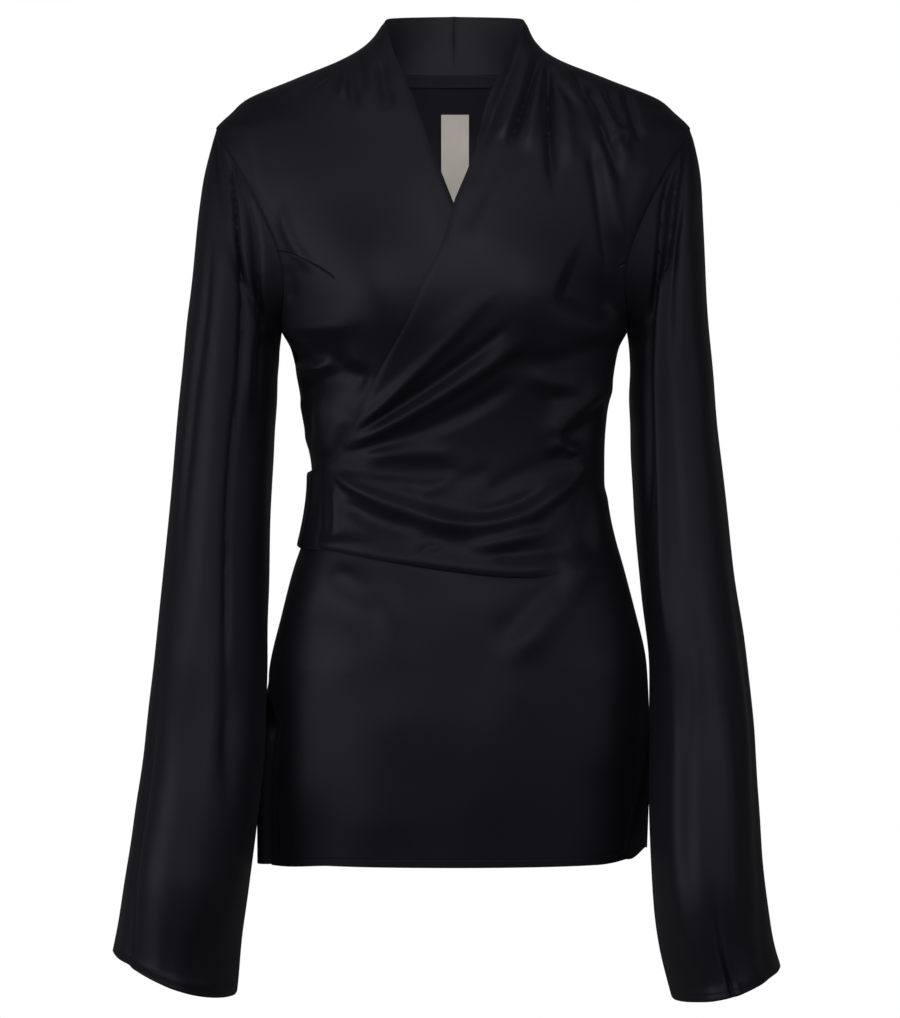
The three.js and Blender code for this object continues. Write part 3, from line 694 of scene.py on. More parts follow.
def sash_surface(angle, z):
    """The sash with its upright ridges: bells round the body that lean by turns to each side."""
    low, high = -400.0, -338.0
    up = (z - low) / (high - low)
    total = np.zeros_like(angle)
    for k, row in enumerate(SASH):
        lean = 1.6 * (up - 0.5) * (-1) ** k
        total += row["high"] * bell((angle - row["angle"] - lean) / row["wide"])
    soft = ease((z - low + 8) / 10) * ease((high + 1 - z) / 7)
    start = ease((-61 - angle) / 5)
    x = form(angle, z)[..., 0]
    tuck = -0.5 * ease((x - SASH_JOINT + 0.6) / 1.2)
    return off_body(angle, z, LAP + total * start * (0.35 + 0.65 * soft) + by_joint(x) + tuck)


def sleeve_section(side, rows, angle, k):
    """Section k of a sleeve: number 0 is the armhole, the rest are slanting ovals."""
    sine, cosine = np.sin(np.radians(angle)), np.cos(np.radians(angle))
    if k == 0:
        z = ARMHOLE_MIDDLE + ARMHOLE_HALF * cosine
        ahead = sine >= 0
        turn = np.where(ahead, side_angle(z, "front"), side_angle(z, "back"))
        return off_body(side * np.where(ahead, turn, 180 - turn), z, -0.9)
    row = rows[k - 1]
    share = (1 + cosine) / 2
    return np.stack([mix(row["ix"], row["ox"], share), row["y"] - sine * row["d"],
                     mix(row["iz"], row["oz"], share)], axis=-1)


def head_shift(angle, run):
    """How much nearer to the shoulder a fold that hangs straight down starts at the armhole.

    It is an angle that is eased to nothing at the top, at the underarm and down the sleeve.
    """
    past = np.minimum(angle, 360 - angle)
    lean = 52 * np.sign(180 - angle) * ease(past / 50) * ease((180 - past) / 20)
    return lean * (1 - ease(run / 0.11))


def sleeve_surface(side, rows, creases, seed):
    """A sleeve as a function of the turn round it and the run along it, with its long folds."""
    count = len(rows)

    def tube(turn, run):
        """The smooth tube through the sections: cubic pieces whose slopes span both neighbours."""
        angle = -turn if side > 0 else turn
        at = np.clip(run * count, 0, count)
        points = np.zeros(angle.shape + (3,))
        for i in range(count):
            a, b = sleeve_section(side, rows, angle, i), sleeve_section(side, rows, angle, i + 1)
            before = sleeve_section(side, rows, angle, i - 1) if i else a
            after = sleeve_section(side, rows, angle, i + 2) if i + 2 <= count else b
            t = (at - i)[..., None]
            here = (at >= i) & ((at < i + 1) | (i == count - 1))
            curve = a + 0.5 * t * (b - before + t * (2 * before - 5 * a + 4 * b - after
                                                     + t * (3 * (a - b) + after - before)))
            points = np.where(here[..., None], curve, points)
        return points

    def folded(turn, run):
        """The tube moved out by its folds and sway, drawn in and rolled at the cuff."""
        angle = (-turn if side > 0 else turn) % 360
        total = np.zeros_like(angle)
        for row in creases:
            middle = mix(row["a0"], row["a1"], (run - row["start"]) / (row["end"] - row["start"]))
            middle = middle - head_shift(middle, run) + 2.5 * np.sin(run * 17 + row["a0"])
            apart = np.abs((angle - middle + 540) % 360 - 180)
            taper = ease((run - row["start"] + 0.03) / 0.12)
            if row["end"] < 1:
                taper = taper * ease((row["end"] + 0.03 - run) / 0.12)
            total += row["high"] * taper * bell(apart / row["wide"])
        total += 0.7 * sway(angle * 1.1, run * 700, seed)
        out = outward(tube, turn, run, 0.5, 0.004)
        cap = ease((run - 0.004) / 0.03)
        ahead = np.maximum(np.sin(np.radians(angle)), 0)
        total += ahead * (4 * ease((run - 0.965) / 0.035) - 15 * ease((run - 0.83) / 0.15))
        roll = -1.2 * bell((1 - run) / 0.004)
        return tube(turn, run) - out * (total * cap + roll)[..., None]

    return folded


# Meshes


def steps_between(levels, most):
    """The levels with more put between them, so that no step is larger than most."""
    out = []
    for a, b in zip(levels[:-1], levels[1:]):
        count = max(1, int(np.ceil(abs(b - a) / most)))
        out.extend(np.linspace(a, b, count, endpoint=False))
    return np.array(out + [levels[-1]], dtype=float)


def lengths(points, axis):
    """Distances run along one direction of a grid, in metres: the running sum of its steps."""
    step = np.linalg.norm(np.diff(points, axis=axis), axis=-1)
    total = np.cumsum(step, axis=axis)
    zero = np.zeros_like(np.take(total, [0], axis=axis))
    return np.concatenate([zero, total], axis=axis) * MM


def hemmed(points, z):
    """A grid whose lowest row is a hem, and whose sides are hems too below the vents' tops.

    Each point holds its distance from the nearest hem and the length along that hem.
    """
    from_side = np.minimum(lengths(points, 1), lengths(points[:, ::-1], 1)[:, ::-1])
    beside = np.where(z < BELOW_VENTS, from_side, OFF_EDGE["edge"])
    above = lengths(points, 0)
    return {"points": points, "edge": np.minimum(above, beside),
            "run": np.where(above < beside, lengths(points, 1), above)}


def cloth_object(name, grids, wall, outside, inside):
    """A closed shell of cloth on one or more grids that share points along their common edges.

    Each grid is a dictionary with its points and, where it has a stitched edge, the distance
    from that edge and along it. The inner face is the outer one moved in by the wall.
    """
    points, corners, uv = [], [], []
    held = {label: [] for label in OFF_EDGE}
    first = 0
    for grid in grids:
        shape = grid["points"].shape[:2]
        ids = first + np.arange(shape[0] * shape[1]).reshape(shape)
        corners.append(np.stack([ids[:-1, :-1], ids[:-1, 1:], ids[1:, 1:], ids[1:, :-1]],
                                axis=-1).reshape(-1, 4))
        points.append(grid["points"].reshape(-1, 3))
        flat = np.stack([lengths(grid["points"], 1), lengths(grid["points"], 0)], axis=-1)
        uv.append(flat.reshape(-1, 2))
        for label, away in OFF_EDGE.items():
            held[label].append(np.broadcast_to(grid.get(label, away), shape).reshape(-1))
        first += ids.size
    points, corners, uv = np.concatenate(points), np.concatenate(corners), np.concatenate(uv)

    # Points that lie on one another become one point.
    _, kept, same = np.unique(np.round(points, 3), axis=0, return_index=True, return_inverse=True)
    quads, points = same.reshape(-1)[corners], points[kept]

    # A point moves in along the sum of its faces' directions, the crossed diagonals of each.
    one, other = (points[quads[:, k + 2]] - points[quads[:, k]] for k in (0, 1))
    face = np.cross(one, other)
    way = np.zeros_like(points)
    for k in range(4):
        np.add.at(way, quads[:, k], face)
    way /= np.linalg.norm(way, axis=1, keepdims=True)

    # A side that no other face shares is a free edge, and gets a wall between the two faces.
    count = len(points)
    pairs = [(k, (k + 1) % 4) for k in range(4)]
    start, stop = (np.concatenate([quads[:, pair[end]] for pair in pairs]) for end in (0, 1))
    free = ~np.isin(start * count + stop, stop * count + start)
    a, b = start[free], stop[free]
    walls = np.stack([b, a, a + count, b + count], axis=1)
    faces = np.concatenate([quads, quads[:, ::-1] + count, walls])
    near, far = (np.concatenate([corners[:, pair[end]] for pair in pairs])[free] for end in (0, 1))
    loops = np.concatenate([corners, corners[:, ::-1], np.stack([far, near, near, far], axis=1)])

    mesh = bpy.data.meshes.new(name)
    both = np.concatenate([points, points - way * wall]) * MM
    mesh.from_pydata(both.tolist(), [], faces.tolist())
    layer = mesh.uv_layers.new(name="cloth")
    layer.data.foreach_set("uv", uv[loops.reshape(-1)].reshape(-1))
    for label, parts in held.items():
        values = np.concatenate(parts)[kept]
        layer = mesh.attributes.new(label, "FLOAT", "POINT")
        layer.data.foreach_set("value", np.concatenate([values, values]).astype(float))
    mesh.materials.append(outside)
    mesh.materials.append(inside)
    side = np.concatenate([np.zeros(len(quads)), np.ones(len(quads)), np.zeros(len(walls))])
    mesh.polygons.foreach_set("material_index", side.astype(np.int32))
    mesh.polygons.foreach_set("use_smooth", np.ones(len(faces), dtype=bool))
    mesh.set_sharp_from_angle(angle=np.radians(50))
    mesh.update()
    thing = bpy.data.objects.new(name, mesh)
    bpy.context.scene.collection.objects.link(thing)
    return thing


def dress(thing, node):
    """Puts a piece in the place of its solid: hangs it on the root and hides the solid."""
    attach(thing, "root")
    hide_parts(node)


# Materials


def maths(tree, kind, *values):
    """A Math node that works on numbers and on other nodes' outputs."""
    node = tree.nodes.new("ShaderNodeMath")
    node.operation = kind
    for socket, value in zip(node.inputs, values):
        if isinstance(value, (int, float)):
            socket.default_value = value
        else:
            tree.links.new(value, socket)
    return node.outputs[0]


def weave_group():
    """Fine satin weave and slight unevenness, as a height and a mask that vary over the cloth.

    The height is two crossed sine waves, one for each set of threads, and a long thin noise.
    """
    if "fine weave" in bpy.data.node_groups:
        return bpy.data.node_groups["fine weave"]
    group = bpy.data.node_groups.new("fine weave", "ShaderNodeTree")
    for name, usual in (("Threads per metre", SATIN_THREADS), ("Slub", 0.5)):
        socket = group.interface.new_socket(name=name, in_out="INPUT",
                                            socket_type="NodeSocketFloat")
        socket.default_value = usual
    for name in ("Height", "Cloudiness"):
        group.interface.new_socket(name=name, in_out="OUTPUT", socket_type="NodeSocketFloat")
    nodes, links = group.nodes, group.links
    begin, end = nodes.new("NodeGroupInput"), nodes.new("NodeGroupOutput")
    uv = nodes.new("ShaderNodeUVMap")
    uv.uv_map = "cloth"
    split = nodes.new("ShaderNodeSeparateXYZ")
    links.new(uv.outputs["UV"], split.inputs[0])
    across, along = split.outputs["X"], split.outputs["Y"]

    def noise(scale, stretch, detail):
        """Noise on the cloth's own lengths, drawn out along it by the stretch."""
        place = nodes.new("ShaderNodeCombineXYZ")
        links.new(maths(group, "MULTIPLY", across, scale), place.inputs[0])
        links.new(maths(group, "MULTIPLY", along, scale * stretch), place.inputs[1])
        node = nodes.new("ShaderNodeTexNoise")
        node.inputs["Scale"].default_value = 1.0
        node.inputs["Detail"].default_value = detail
        links.new(place.outputs[0], node.inputs["Vector"])
        return node.outputs["Fac"]

    turns = maths(group, "MULTIPLY", begin.outputs["Threads per metre"], FULL_TURN)
    warp = maths(group, "SINE", maths(group, "MULTIPLY", across, turns))
    slant = maths(group, "ADD", maths(group, "MULTIPLY", across, 0.4), along)
    slower = maths(group, "MULTIPLY", maths(group, "MULTIPLY", slant, turns), 0.31)
    weft = maths(group, "SINE", slower)
    threads = maths(group, "ADD", maths(group, "MULTIPLY", warp, 0.6),
                    maths(group, "MULTIPLY", weft, 0.4))
    slub = maths(group, "MULTIPLY", noise(700, 0.08, 2.0), begin.outputs["Slub"])
    height = maths(group, "ADD", maths(group, "MULTIPLY", threads, 0.35), slub)
    links.new(height, end.inputs["Height"])
    links.new(noise(24, 0.6, 4.0), end.inputs["Cloudiness"])
    return group


def stitching(tree, normal):
    """The normal with a row of stitches by the hems, the hem's step and a groove at the darts.

    A stitch stands on the stitch line wherever the sine of the run is over minus a half.
    """
    edge, run, dart = (tree.nodes.new("ShaderNodeAttribute") for _ in OFF_EDGE)
    edge.attribute_name, run.attribute_name, dart.attribute_name = OFF_EDGE
    off = maths(tree, "ABSOLUTE", maths(tree, "SUBTRACT", edge.outputs["Fac"], STITCH_LINE))
    seam = maths(tree, "ABSOLUTE", dart.outputs["Fac"])
    line, groove = (
        maths(tree, "SUBTRACT", 1.0, maths(tree, "MINIMUM", maths(tree, "DIVIDE", gap, wide), 1.0))
        for gap, wide in ((off, THREAD), (seam, GROOVE)))
    wave = maths(tree, "SINE", maths(tree, "MULTIPLY", run.outputs["Fac"], STITCH_WAVE))
    stitch = maths(tree, "MULTIPLY", line, maths(tree, "GREATER_THAN", wave, -0.5))
    turned_in = maths(tree, "LESS_THAN", edge.outputs["Fac"], STITCH_LINE)
    relief = maths(tree, "SUBTRACT", maths(tree, "MULTIPLY", turned_in, 0.5), stitch)
    relief = maths(tree, "SUBTRACT", relief, maths(tree, "MULTIPLY", groove, 1.6))
    bump = tree.nodes.new("ShaderNodeBump")
    bump.inputs["Strength"].default_value = 0.7
    bump.inputs["Distance"].default_value = 0.0006
    tree.links.new(relief, bump.inputs["Height"])
    tree.links.new(normal, bump.inputs["Normal"])
    return bump.outputs["Normal"]


def cloth_material(name, colour, roughness, specular, sheen, weave, stitched, tint=(1, 1, 1)):
    """Woven cloth: the weave's height is a bump, and its cloudiness varies tone and roughness."""
    if name in bpy.data.materials:
        return bpy.data.materials[name]
    material = bpy.data.materials.new(name)
    material.use_nodes = True
    tree = material.node_tree
    nodes, links = tree.nodes, tree.links
    shader = nodes["Principled BSDF"]
    shader.inputs["Specular IOR Level"].default_value = specular
    shader.inputs["Specular Tint"].default_value = (*tint, 1)
    shader.inputs["Sheen Weight"].default_value = sheen
    shader.inputs["Sheen Roughness"].default_value = 0.5
    shader.inputs["Sheen Tint"].default_value = (0.75, 0.72, 0.9, 1)
    cloth = nodes.new("ShaderNodeGroup")
    cloth.node_tree = weave_group()
    cloth.inputs["Threads per metre"].default_value = weave
    tone = nodes.new("ShaderNodeMix")
    tone.data_type = "RGBA"
    tone.inputs["A"].default_value = (*[c * 0.8 for c in colour], 1)
    tone.inputs["B"].default_value = (*[c * 1.2 for c in colour], 1)
    rough = nodes.new("ShaderNodeMapRange")
    rough.inputs["To Min"].default_value = roughness - 0.04
    rough.inputs["To Max"].default_value = roughness + 0.04
    bump = nodes.new("ShaderNodeBump")
    bump.inputs["Strength"].default_value = 0.3
    bump.inputs["Distance"].default_value = 0.0002
    links.new(cloth.outputs["Cloudiness"], tone.inputs["Factor"])
    links.new(cloth.outputs["Cloudiness"], rough.inputs["Value"])
    links.new(cloth.outputs["Height"], bump.inputs["Height"])
    links.new(tone.outputs["Result"], shader.inputs["Base Color"])
    links.new(rough.outputs["Result"], shader.inputs["Roughness"])
    normal = bump.outputs["Normal"]
    links.new(stitching(tree, normal) if stitched else normal, shader.inputs["Normal"])
    return material


# Settings


class ClothSettings(bpy.types.PropertyGroup):
    """Thickness, fineness and colours of the cloth"""
    wall: bpy.props.FloatProperty(
        name="Wall", description="Thickness of the cloth shell", default=0.0012, unit="LENGTH")
    fineness: bpy.props.FloatProperty(
        name="Fineness", description="Largest step of the cloth grids", default=0.0034,
        unit="LENGTH")
    satin: bpy.props.FloatVectorProperty(
        name="Satin", description="Colour of the satin", default=(0.0040, 0.0037, 0.0056),
        subtype="COLOR", size=3)
    inside: bpy.props.FloatVectorProperty(
        name="Inside", description="Colour of the satin's wrong side",
        default=(0.012, 0.011, 0.015), subtype="COLOR", size=3)
    label: bpy.props.FloatVectorProperty(
        name="Label", description="Colour of the plain label", default=(0.72, 0.66, 0.60),
        subtype="COLOR", size=3)


class StageSettings(bpy.types.PropertyGroup):
    """Places of the floor and the camera"""
    floor: bpy.props.FloatProperty(
        name="Floor", description="Height of the floor", default=-1.0, unit="LENGTH")
    distance: bpy.props.FloatProperty(
        name="Distance", description="Distance of the camera", default=3.0, unit="LENGTH")


# Pieces


def cloth_step(context, share=1.0):
    """The cloth's settings, and a grid step that is a share of its fineness, in millimetres."""
    settings = context.scene.wraptop_cloth
    return settings, settings.fineness * share / MM


def satin_piece(name, grids, settings):
    """A shell of satin, with the right side of the cloth outside and the wrong side inside."""
    outside = cloth_material("black satin", settings.satin, 0.48, 0.18, 0.03, SATIN_THREADS,
                             True, SHEEN_TINT)
    inside = cloth_material("satin wrong side", settings.inside, 0.58, 0.18, 0.05, SATIN_THREADS,
                            True, SHEEN_TINT)
    return cloth_object(name, grids, settings.wall / MM, outside, inside)


def front_levels(step):
    """Heights of the rows up the armhole, the shoulder and the collar, and the collar's count.

    They follow a cosine along the armhole, so they are closer together at both its ends.
    """
    turn = np.linspace(0.07, np.pi - 0.07, int(ARMHOLE_HALF * np.pi / step))
    hole = [ARMHOLE_BOTTOM - 1.4, ARMHOLE_BOTTOM,
            *(ARMHOLE_MIDDLE - ARMHOLE_HALF * np.cos(turn)), ARMHOLE_TOP]
    shoulder = steps_between(SHOULDER_LEVELS + COLLAR_LEVELS, step)
    return np.concatenate([hole, shoulder]), len(steps_between(COLLAR_LEVELS, step))


def across_front(begin, limit, share):
    """Angles across a front panel: the columns bend to the armhole only near its edge.

    They are spread evenly up to the side, less the armhole's turn times a power of the share.
    """
    turn = np.maximum(90 - limit, 1e-3)
    power = np.clip(0.6 * (90 - begin) / turn, 1, 5)
    return mix(begin, 90.0, share) - turn * share**power


def edge_angle(x):
    """The angle at which the drape's lower edge reaches x."""
    return float(angle_at(np.array(x), lower_edge(np.array(x))))


def collar_half(surface, side, levels, columns):
    """The collar half that is cut on to a front, from the side of the neck to the back seam.

    Its rows stand evenly between the neck seam and the collar's top edge.
    """
    share = np.linspace(0, 1, columns)[None, :]
    level = levels[:, None]
    angle = mix(side_angle(level, "front"), 180.0, share)
    up = (level - levels[0]) / (COLLAR_FRONT - levels[0])
    low = neck_line(np.maximum(angle, 90)) + levels[0] - NECK_POINT - 0.5 * ease((angle - 91) / 10)
    z = mix(low, collar_top(angle), up)
    angle = np.where(share == 0, side_angle(level, "front"), angle)
    z = np.where(share == 0, level, z)
    if side < 0:
        angle, z = angle[:, ::-1], z[:, ::-1]
    return {"points": surface(side * angle, z + 0 * angle)}


class WRAPTOP_OT_back(bpy.types.Operator):
    """Make the back"""
    bl_idname = "wraptop.back"
    bl_label = "Back"

    def execute(self, context):
        settings, step = cloth_step(context)
        share = np.linspace(0, 1, int(400 / step))[None, :]
        body = steps_between([BACK_HEM, -224], step)
        hole, collar_rows = front_levels(step)
        levels = np.concatenate([body, hole[:len(hole) - collar_rows + 1]])
        levels[-1] = NECK_POINT
        dip = NECK_POINT - back_neck(mix(90.0, 270.0, share))
        z = levels[:, None] - dip * ease((levels[:, None] + 90) / 100)
        begin = 180 - side_angle(z, "back")
        angle = mix(begin, 360 - begin + vent_lap(z), share)
        corner = hem_rise(form(angle, z)[..., 0], 150, 13, 15) + 4.5 * ease((share - 0.82) / 0.1)
        points = back_surface(angle, raised(z, corner))
        thing = satin_piece("back_panel", [hemmed(points, z)], settings)
        dress(thing, "back")
        return {"FINISHED"}


class WRAPTOP_OT_under_front(bpy.types.Operator):
    """Make the under front with its collar half"""
    bl_idname = "wraptop.under_front"
    bl_label = "Under front"

    def execute(self, context):
        settings, step = cloth_step(context, 0.75)
        share = np.linspace(0, 1, int(250 / step))[None, :]
        top, collar_rows = front_levels(step)
        levels = np.concatenate([steps_between([UNDER_BASE, -224], step), top])[:, None]
        far = float(angle_at(np.array(128.0), np.array(UNDER_BASE)))
        x = form(mix(-90.0, far, share), np.full_like(share, UNDER_BASE))[..., 0]
        shift = lower_edge(x) + UNDERLAP + 0.8 - UNDER_BASE
        z = levels + shift * (1 - ease((levels - UNDER_BASE) / 80))
        spread = -across_front(-angle_at(under_edge(z), z), front_limit(z, -1), 1 - share)
        upper = {"points": under_front(spread, z), "dart": dart_gap(form(spread, z)[..., 0], z)}
        collar = collar_half(under_front, -1, top[-collar_rows:], int(110 / step))
        thing = satin_piece("under_front", [upper, collar], settings)
        dress(thing, "front_under")
        return {"FINISHED"}


class WRAPTOP_OT_over_front(bpy.types.Operator):
    """Make the draped over front, with the skirt and a collar half in one piece"""
    bl_idname = "wraptop.over_front"
    bl_label = "Over front"

    def execute(self, context):
        # The counts of columns come from lengths across the drape, in millimetres.
        settings, step = cloth_step(context, 0.7)
        left_count, right_count = int(215 / step), int(75 / step)
        end = edge_angle(SLASH_END)
        last = float(front_limit(np.array(-416.0), 1))
        bottom = np.concatenate([np.linspace(edge_angle(SASH_JOINT), end, left_count + 1),
                                 np.linspace(end, last, right_count + 1)[1:]])
        share = (bottom - bottom[0]) / (bottom[-1] - bottom[0])
        edges = lower_edge(form(bottom, np.full_like(bottom, OVER_BASE))[:, 0])
        top, collar_rows = front_levels(step)
        levels = np.concatenate([steps_between([OVER_BASE, -402, -334, -224], step), top])
        fade = 1 - ease((levels - OVER_BASE) / 80)
        z = levels[:, None] + (edges - OVER_BASE)[None, :] * fade[:, None]
        begin = angle_at(wrap_edge(z), z)
        spread = across_front(begin, front_limit(z, 1), share[None, :])
        upper = over_front(spread, z)
        draped = {"points": upper, "dart": dart_gap(form(spread, z)[..., 0], z)}

        # The skirt's top row runs under the drape up to the slash's end, and is one with it after.
        tops = np.linspace(-float(front_limit(np.array(-400.0), -1)), end, left_count + 8)[:-1]
        across = np.concatenate([tops, bottom[left_count:]])
        share = (across - across[0]) / (across[-1] - across[0])
        x = form(across, np.full_like(across, -420.0))[:, 0]
        lip = ease((SLASH_END - x) / 30) * UNDERLAP
        heights = steps_between([HEM, -658, -520], step * 1.7)
        heights = np.concatenate([heights[:-1], steps_between([-520, -427, -415], step * 1.3)])
        up = np.clip((heights - BELOW_VENTS) / (heights[-1] - BELOW_VENTS), 0, 1)[:, None]
        rise = up * (lower_edge(x) + lip - BELOW_VENTS)[None, :]
        z = np.minimum(heights, BELOW_VENTS)[:, None] + rise
        angle = mix(-front_limit(z, -1), front_limit(z, 1), share[None, :])
        place = form(angle, z)[..., 0]
        z = raised(z, hem_rise(place, 118, 29, 4) - 3 * ease((-100 - place) / 45))
        lower = skirt(angle, z)
        lower[-1, len(tops):] = upper[0, left_count:]

        collar = collar_half(over_front, 1, top[-collar_rows:], int(110 / step))
        thing = satin_piece("over_front", [draped, hemmed(lower, z), collar], settings)
        dress(thing, "front_wrap")
        return {"FINISHED"}


class WRAPTOP_OT_sash(bpy.types.Operator):
    """Make the sash that carries the wrapped front round the side to the back"""
    bl_idname = "wraptop.sash"
    bl_label = "Sash"

    def execute(self, context):
        settings, step = cloth_step(context)
        share = np.linspace(0, 1, int(260 / step * 1.6))[None, :]
        level = np.linspace(0, 1, int(64 / step * 1.4))[:, None]
        far, end = -188.0, SASH_JOINT + 2.5
        angle = mix(far, angle_at(np.array([[end]]), np.array([[-370.0]])), share) + 0 * level
        low = mix(-398.0, float(lower_edge(np.array(SASH_JOINT))), ease((angle + 110) / 40))
        z = mix(low, mix(-341.0, -338.0, ease((angle + 95) / 35)), level)
        points = sash_surface(mix(far, angle_at(np.full_like(z, end), z), share), z)
        grid = {"points": points, "edge": lengths(points, 1), "run": lengths(points, 0)}
        thing = satin_piece("sash_band", [grid], settings)
        dress(thing, "sash")
        return {"FINISHED"}


class WRAPTOP_OT_sleeves(bpy.types.Operator):
    """Make both bell sleeves"""
    bl_idname = "wraptop.sleeves"
    bl_label = "Sleeves"

    def execute(self, context):
        settings, step = cloth_step(context)
        turn = np.linspace(0, 360, int(480 / step) + 1)[None, :]
        run = 1 - np.concatenate([np.linspace(0, 0.03, 8, endpoint=False),
                                  np.linspace(0.03, 1, int(640 / step))])[:, None]
        for name, node, side, rows, creases, seed in (
                ("sleeve_l", "sleeve_left", -1, LEFT_SLEEVE, LEFT_FOLDS, 21),
                ("sleeve_r", "sleeve_right", 1, RIGHT_SLEEVE, RIGHT_FOLDS, 22)):
            points = sleeve_surface(side, rows, creases, seed)(turn + 0 * run, run + 0 * turn)
            points[:, -1] = points[:, 0]
            grid = {"points": points, "edge": lengths(points, 0), "run": lengths(points, 1)}
            thing = satin_piece(name, [grid], settings)
            dress(thing, node)
        return {"FINISHED"}


class WRAPTOP_OT_neck_trim(bpy.types.Operator):
    """Make the tape over the back neck seam and the plain label"""
    bl_idname = "wraptop.neck_trim"
    bl_label = "Neck tape and label"

    def execute(self, context):
        settings = context.scene.wraptop_cloth
        depth = -2.2
        tape = cloth_material("neck tape", settings.inside, 0.8, 0.2, 0.2, 1100.0, False)
        level = np.linspace(0, 1, 6)[:, None]
        angle = mix(122.0, 238.0, np.linspace(0, 1, 80)[None, :]) + 0 * level
        swell = 0.25 * bell((level - 0.5) / 0.35)
        z = back_neck(angle) - 1 - 9 * (1 - level)
        points = off_body(angle, z, np.full_like(angle, depth) + swell)
        thing = cloth_object("neck_binding", [{"points": points}], 0.9, tape, tape)
        dress(thing, "neck_tape")

        label = cloth_material("woven label", settings.label, 0.75, 0.25, 0.1, 1600.0, False)
        share, level = np.linspace(0, 1, 14)[None, :], np.linspace(0, 1, 30)[:, None]
        z = mix(-104.0, -29.0, level) + 0 * share
        angle = 180 - angle_at(mix(13.0, -11.0, share) + 0 * z, z)
        points = off_body(angle, z, np.full_like(z, depth) - 0.4 * bell((z + 66) / 30))
        thing = cloth_object("plain_label", [{"points": points}], 0.8, label, label)
        dress(thing, "label")
        return {"FINISHED"}


# Stage


def put(name, data, place, turn):
    """Puts a light or a camera into the scene at a place, turned."""
    thing = bpy.data.objects.new(name, data)
    thing.location, thing.rotation_euler = place, turn
    bpy.context.scene.collection.objects.link(thing)
    return thing


def pale_paper():
    """Paper that the camera sees as plain white from its front, and not at all from behind."""
    paper = bpy.data.materials.new("pale paper")
    paper.use_nodes = True
    nodes, links = paper.node_tree.nodes, paper.node_tree.links
    shader = nodes["Principled BSDF"]
    shader.inputs["Base Color"].default_value = (0.22, 0.22, 0.22, 1)
    shader.inputs["Roughness"].default_value = 0.9
    glow, clear = nodes.new("ShaderNodeEmission"), nodes.new("ShaderNodeBsdfTransparent")
    glow.inputs["Color"].default_value = (1, 1, 1, 1)
    ray, face = nodes.new("ShaderNodeLightPath"), nodes.new("ShaderNodeNewGeometry")
    surface = shader.outputs[0]
    for share, other in ((ray.outputs["Is Camera Ray"], glow), (face.outputs["Backfacing"], clear)):
        blend = nodes.new("ShaderNodeMixShader")
        links.new(share, blend.inputs["Fac"])
        links.new(surface, blend.inputs[1])
        links.new(other.outputs[0], blend.inputs[2])
        surface = blend.outputs[0]
    links.new(surface, nodes["Material Output"].inputs["Surface"])
    return paper


def backdrop_mesh(floor):
    """A floor that bends up into a wall behind: a straight, a quarter circle and a straight."""
    bend, radius = 1.6, 1.2
    turns = np.linspace(0, np.pi / 2, 17)[1:]
    profile = ([(y, floor) for y in np.linspace(-5, bend, 12)]
               + [(bend + radius * np.sin(a), floor + radius - radius * np.cos(a)) for a in turns]
               + [(bend + radius, floor + radius + h) for h in np.linspace(0, 3, 6)[1:]])
    count = len(profile)
    points = [(x, y, z) for x in (-5.0, 5.0) for y, z in profile]
    faces = [(i, i + count, i + count + 1, i + 1) for i in range(count - 1)]
    mesh = bpy.data.meshes.new("backdrop")
    mesh.from_pydata(points, [], faces)
    mesh.polygons.foreach_set("use_smooth", np.ones(len(faces), dtype=bool))
    mesh.materials.append(pale_paper())
    return mesh


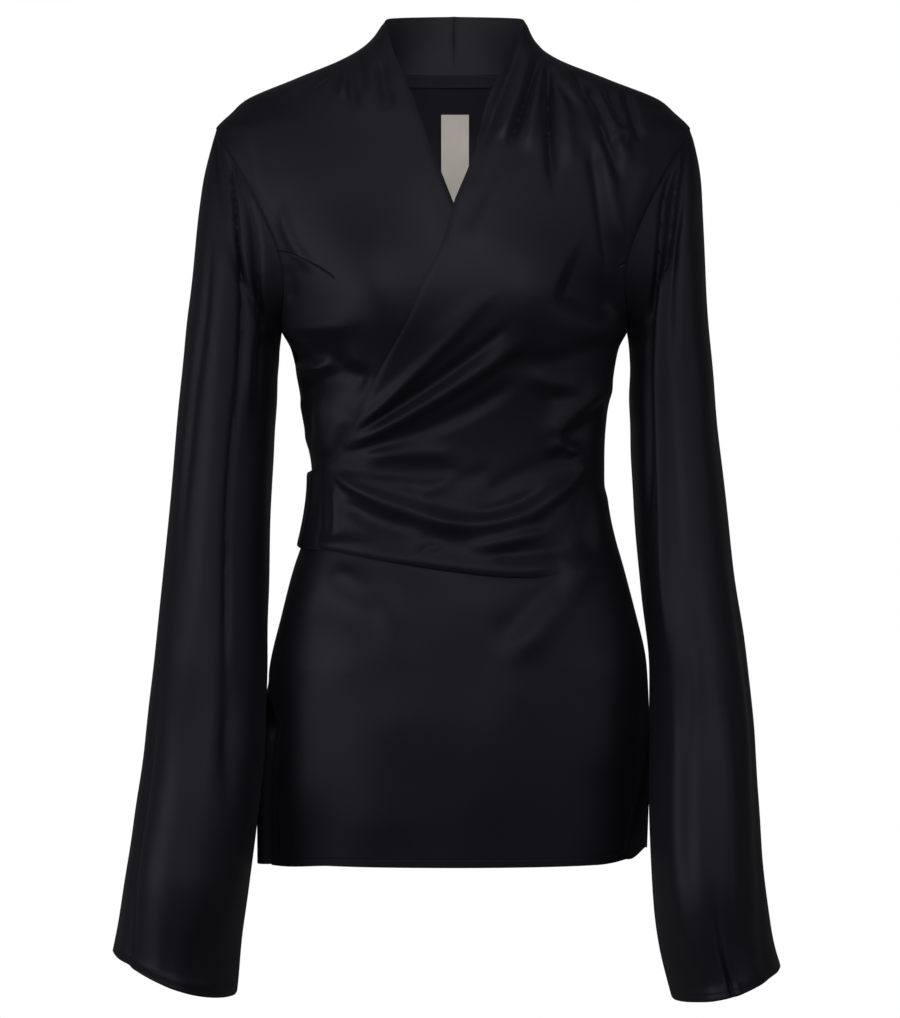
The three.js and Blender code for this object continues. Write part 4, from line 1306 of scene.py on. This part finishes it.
class WRAPTOP_OT_stage(bpy.types.Operator):
    """Make the pale floor and backdrop, the lights and the camera"""
    bl_idname = "wraptop.stage"
    bl_label = "Stage"

    def execute(self, context):
        settings = context.scene.wraptop_stage
        scene = context.scene
        backdrop = bpy.data.objects.new("backdrop", backdrop_mesh(settings.floor))
        scene.collection.objects.link(backdrop)

        world = bpy.data.worlds.new("soft studio")
        world.use_nodes = True
        world.node_tree.nodes["Background"].inputs["Color"].default_value = (1, 1, 1, 1)
        world.node_tree.nodes["Background"].inputs["Strength"].default_value = 0.03
        scene.world = world

        middle = np.array([0, 0, -0.37])
        for name, place, wide, high, power in (
                ("front", (0, -3.5, 1.1), 3.0, 2.1, 54),
                ("left", (-3, -1.5, -0.3), 2.2, 2.4, 58),
                ("right", (3, -1.8, 0.1), 2.2, 2.6, 22),
                ("top", (0, -0.6, 2.2), 2.6, 2.0, 9)):
            data = bpy.data.lights.new(name, "AREA")
            data.shape, data.size, data.size_y, data.energy = "RECTANGLE", wide, high, power
            way = np.array(place) - middle
            pitch = np.arctan2(np.hypot(way[0], way[1]), way[2])
            light = put(name, data, place, (pitch, 0, np.arctan2(way[0], -way[1])))
            light.visible_camera = False

        data = bpy.data.lights.new("into the neck", "SPOT")
        data.energy, data.spot_size, data.spot_blend, data.shadow_soft_size = 225, 0.08, 1.0, 0.12
        put("into the neck", data, (0, -2.5, 0.5), (np.arctan2(2.58, 0.585), 0, 0))

        data = bpy.data.cameras.new("camera")
        data.sensor_fit, data.sensor_width = "HORIZONTAL", SENSOR
        data.lens = SENSOR * settings.distance / (VIEW_WIDTH * PIXEL * MM)
        scene.camera = put("camera", data, (-0.0034, -settings.distance, -0.371),
                           (np.pi / 2, 0, 0))
        scene.view_settings.view_transform = "Standard"
        return {"FINISHED"}


class WRAPTOP_PT_panel(bpy.types.Panel):
    """The settings, and a button for each piece"""
    bl_idname = "WRAPTOP_PT_panel"
    bl_label = "Wrap Top"
    bl_space_type = "VIEW_3D"
    bl_region_type = "UI"
    bl_category = "Wrap Top"

    def draw(self, context):
        layout = self.layout
        for group in (context.scene.wraptop_cloth, context.scene.wraptop_stage):
            for name in group.__annotations__:
                layout.prop(group, name)
        for operator in OPERATORS:
            layout.operator(operator.bl_idname)


OPERATORS = (
    WRAPTOP_OT_back,
    WRAPTOP_OT_under_front,
    WRAPTOP_OT_over_front,
    WRAPTOP_OT_sash,
    WRAPTOP_OT_sleeves,
    WRAPTOP_OT_neck_trim,
    WRAPTOP_OT_stage,
)
CLASSES = (ClothSettings, StageSettings, *OPERATORS, WRAPTOP_PT_panel)


def register():
    """Registers the classes and hangs the settings on the scene"""
    for cls in CLASSES:
        bpy.utils.register_class(cls)
    bpy.types.Scene.wraptop_cloth = bpy.props.PointerProperty(type=ClothSettings)
    bpy.types.Scene.wraptop_stage = bpy.props.PointerProperty(type=StageSettings)


def unregister():
    """Takes back what register did"""
    del bpy.types.Scene.wraptop_stage
    del bpy.types.Scene.wraptop_cloth
    for cls in reversed(CLASSES):
        bpy.utils.unregister_class(cls)


def main():
    """Makes every piece and the stage"""
    register()
    bpy.ops.wraptop.back()
    bpy.ops.wraptop.under_front()
    bpy.ops.wraptop.over_front()
    bpy.ops.wraptop.sash()
    bpy.ops.wraptop.sleeves()
    bpy.ops.wraptop.neck_trim()
    bpy.ops.wraptop.stage()


if __name__ == "__main__":
    main()
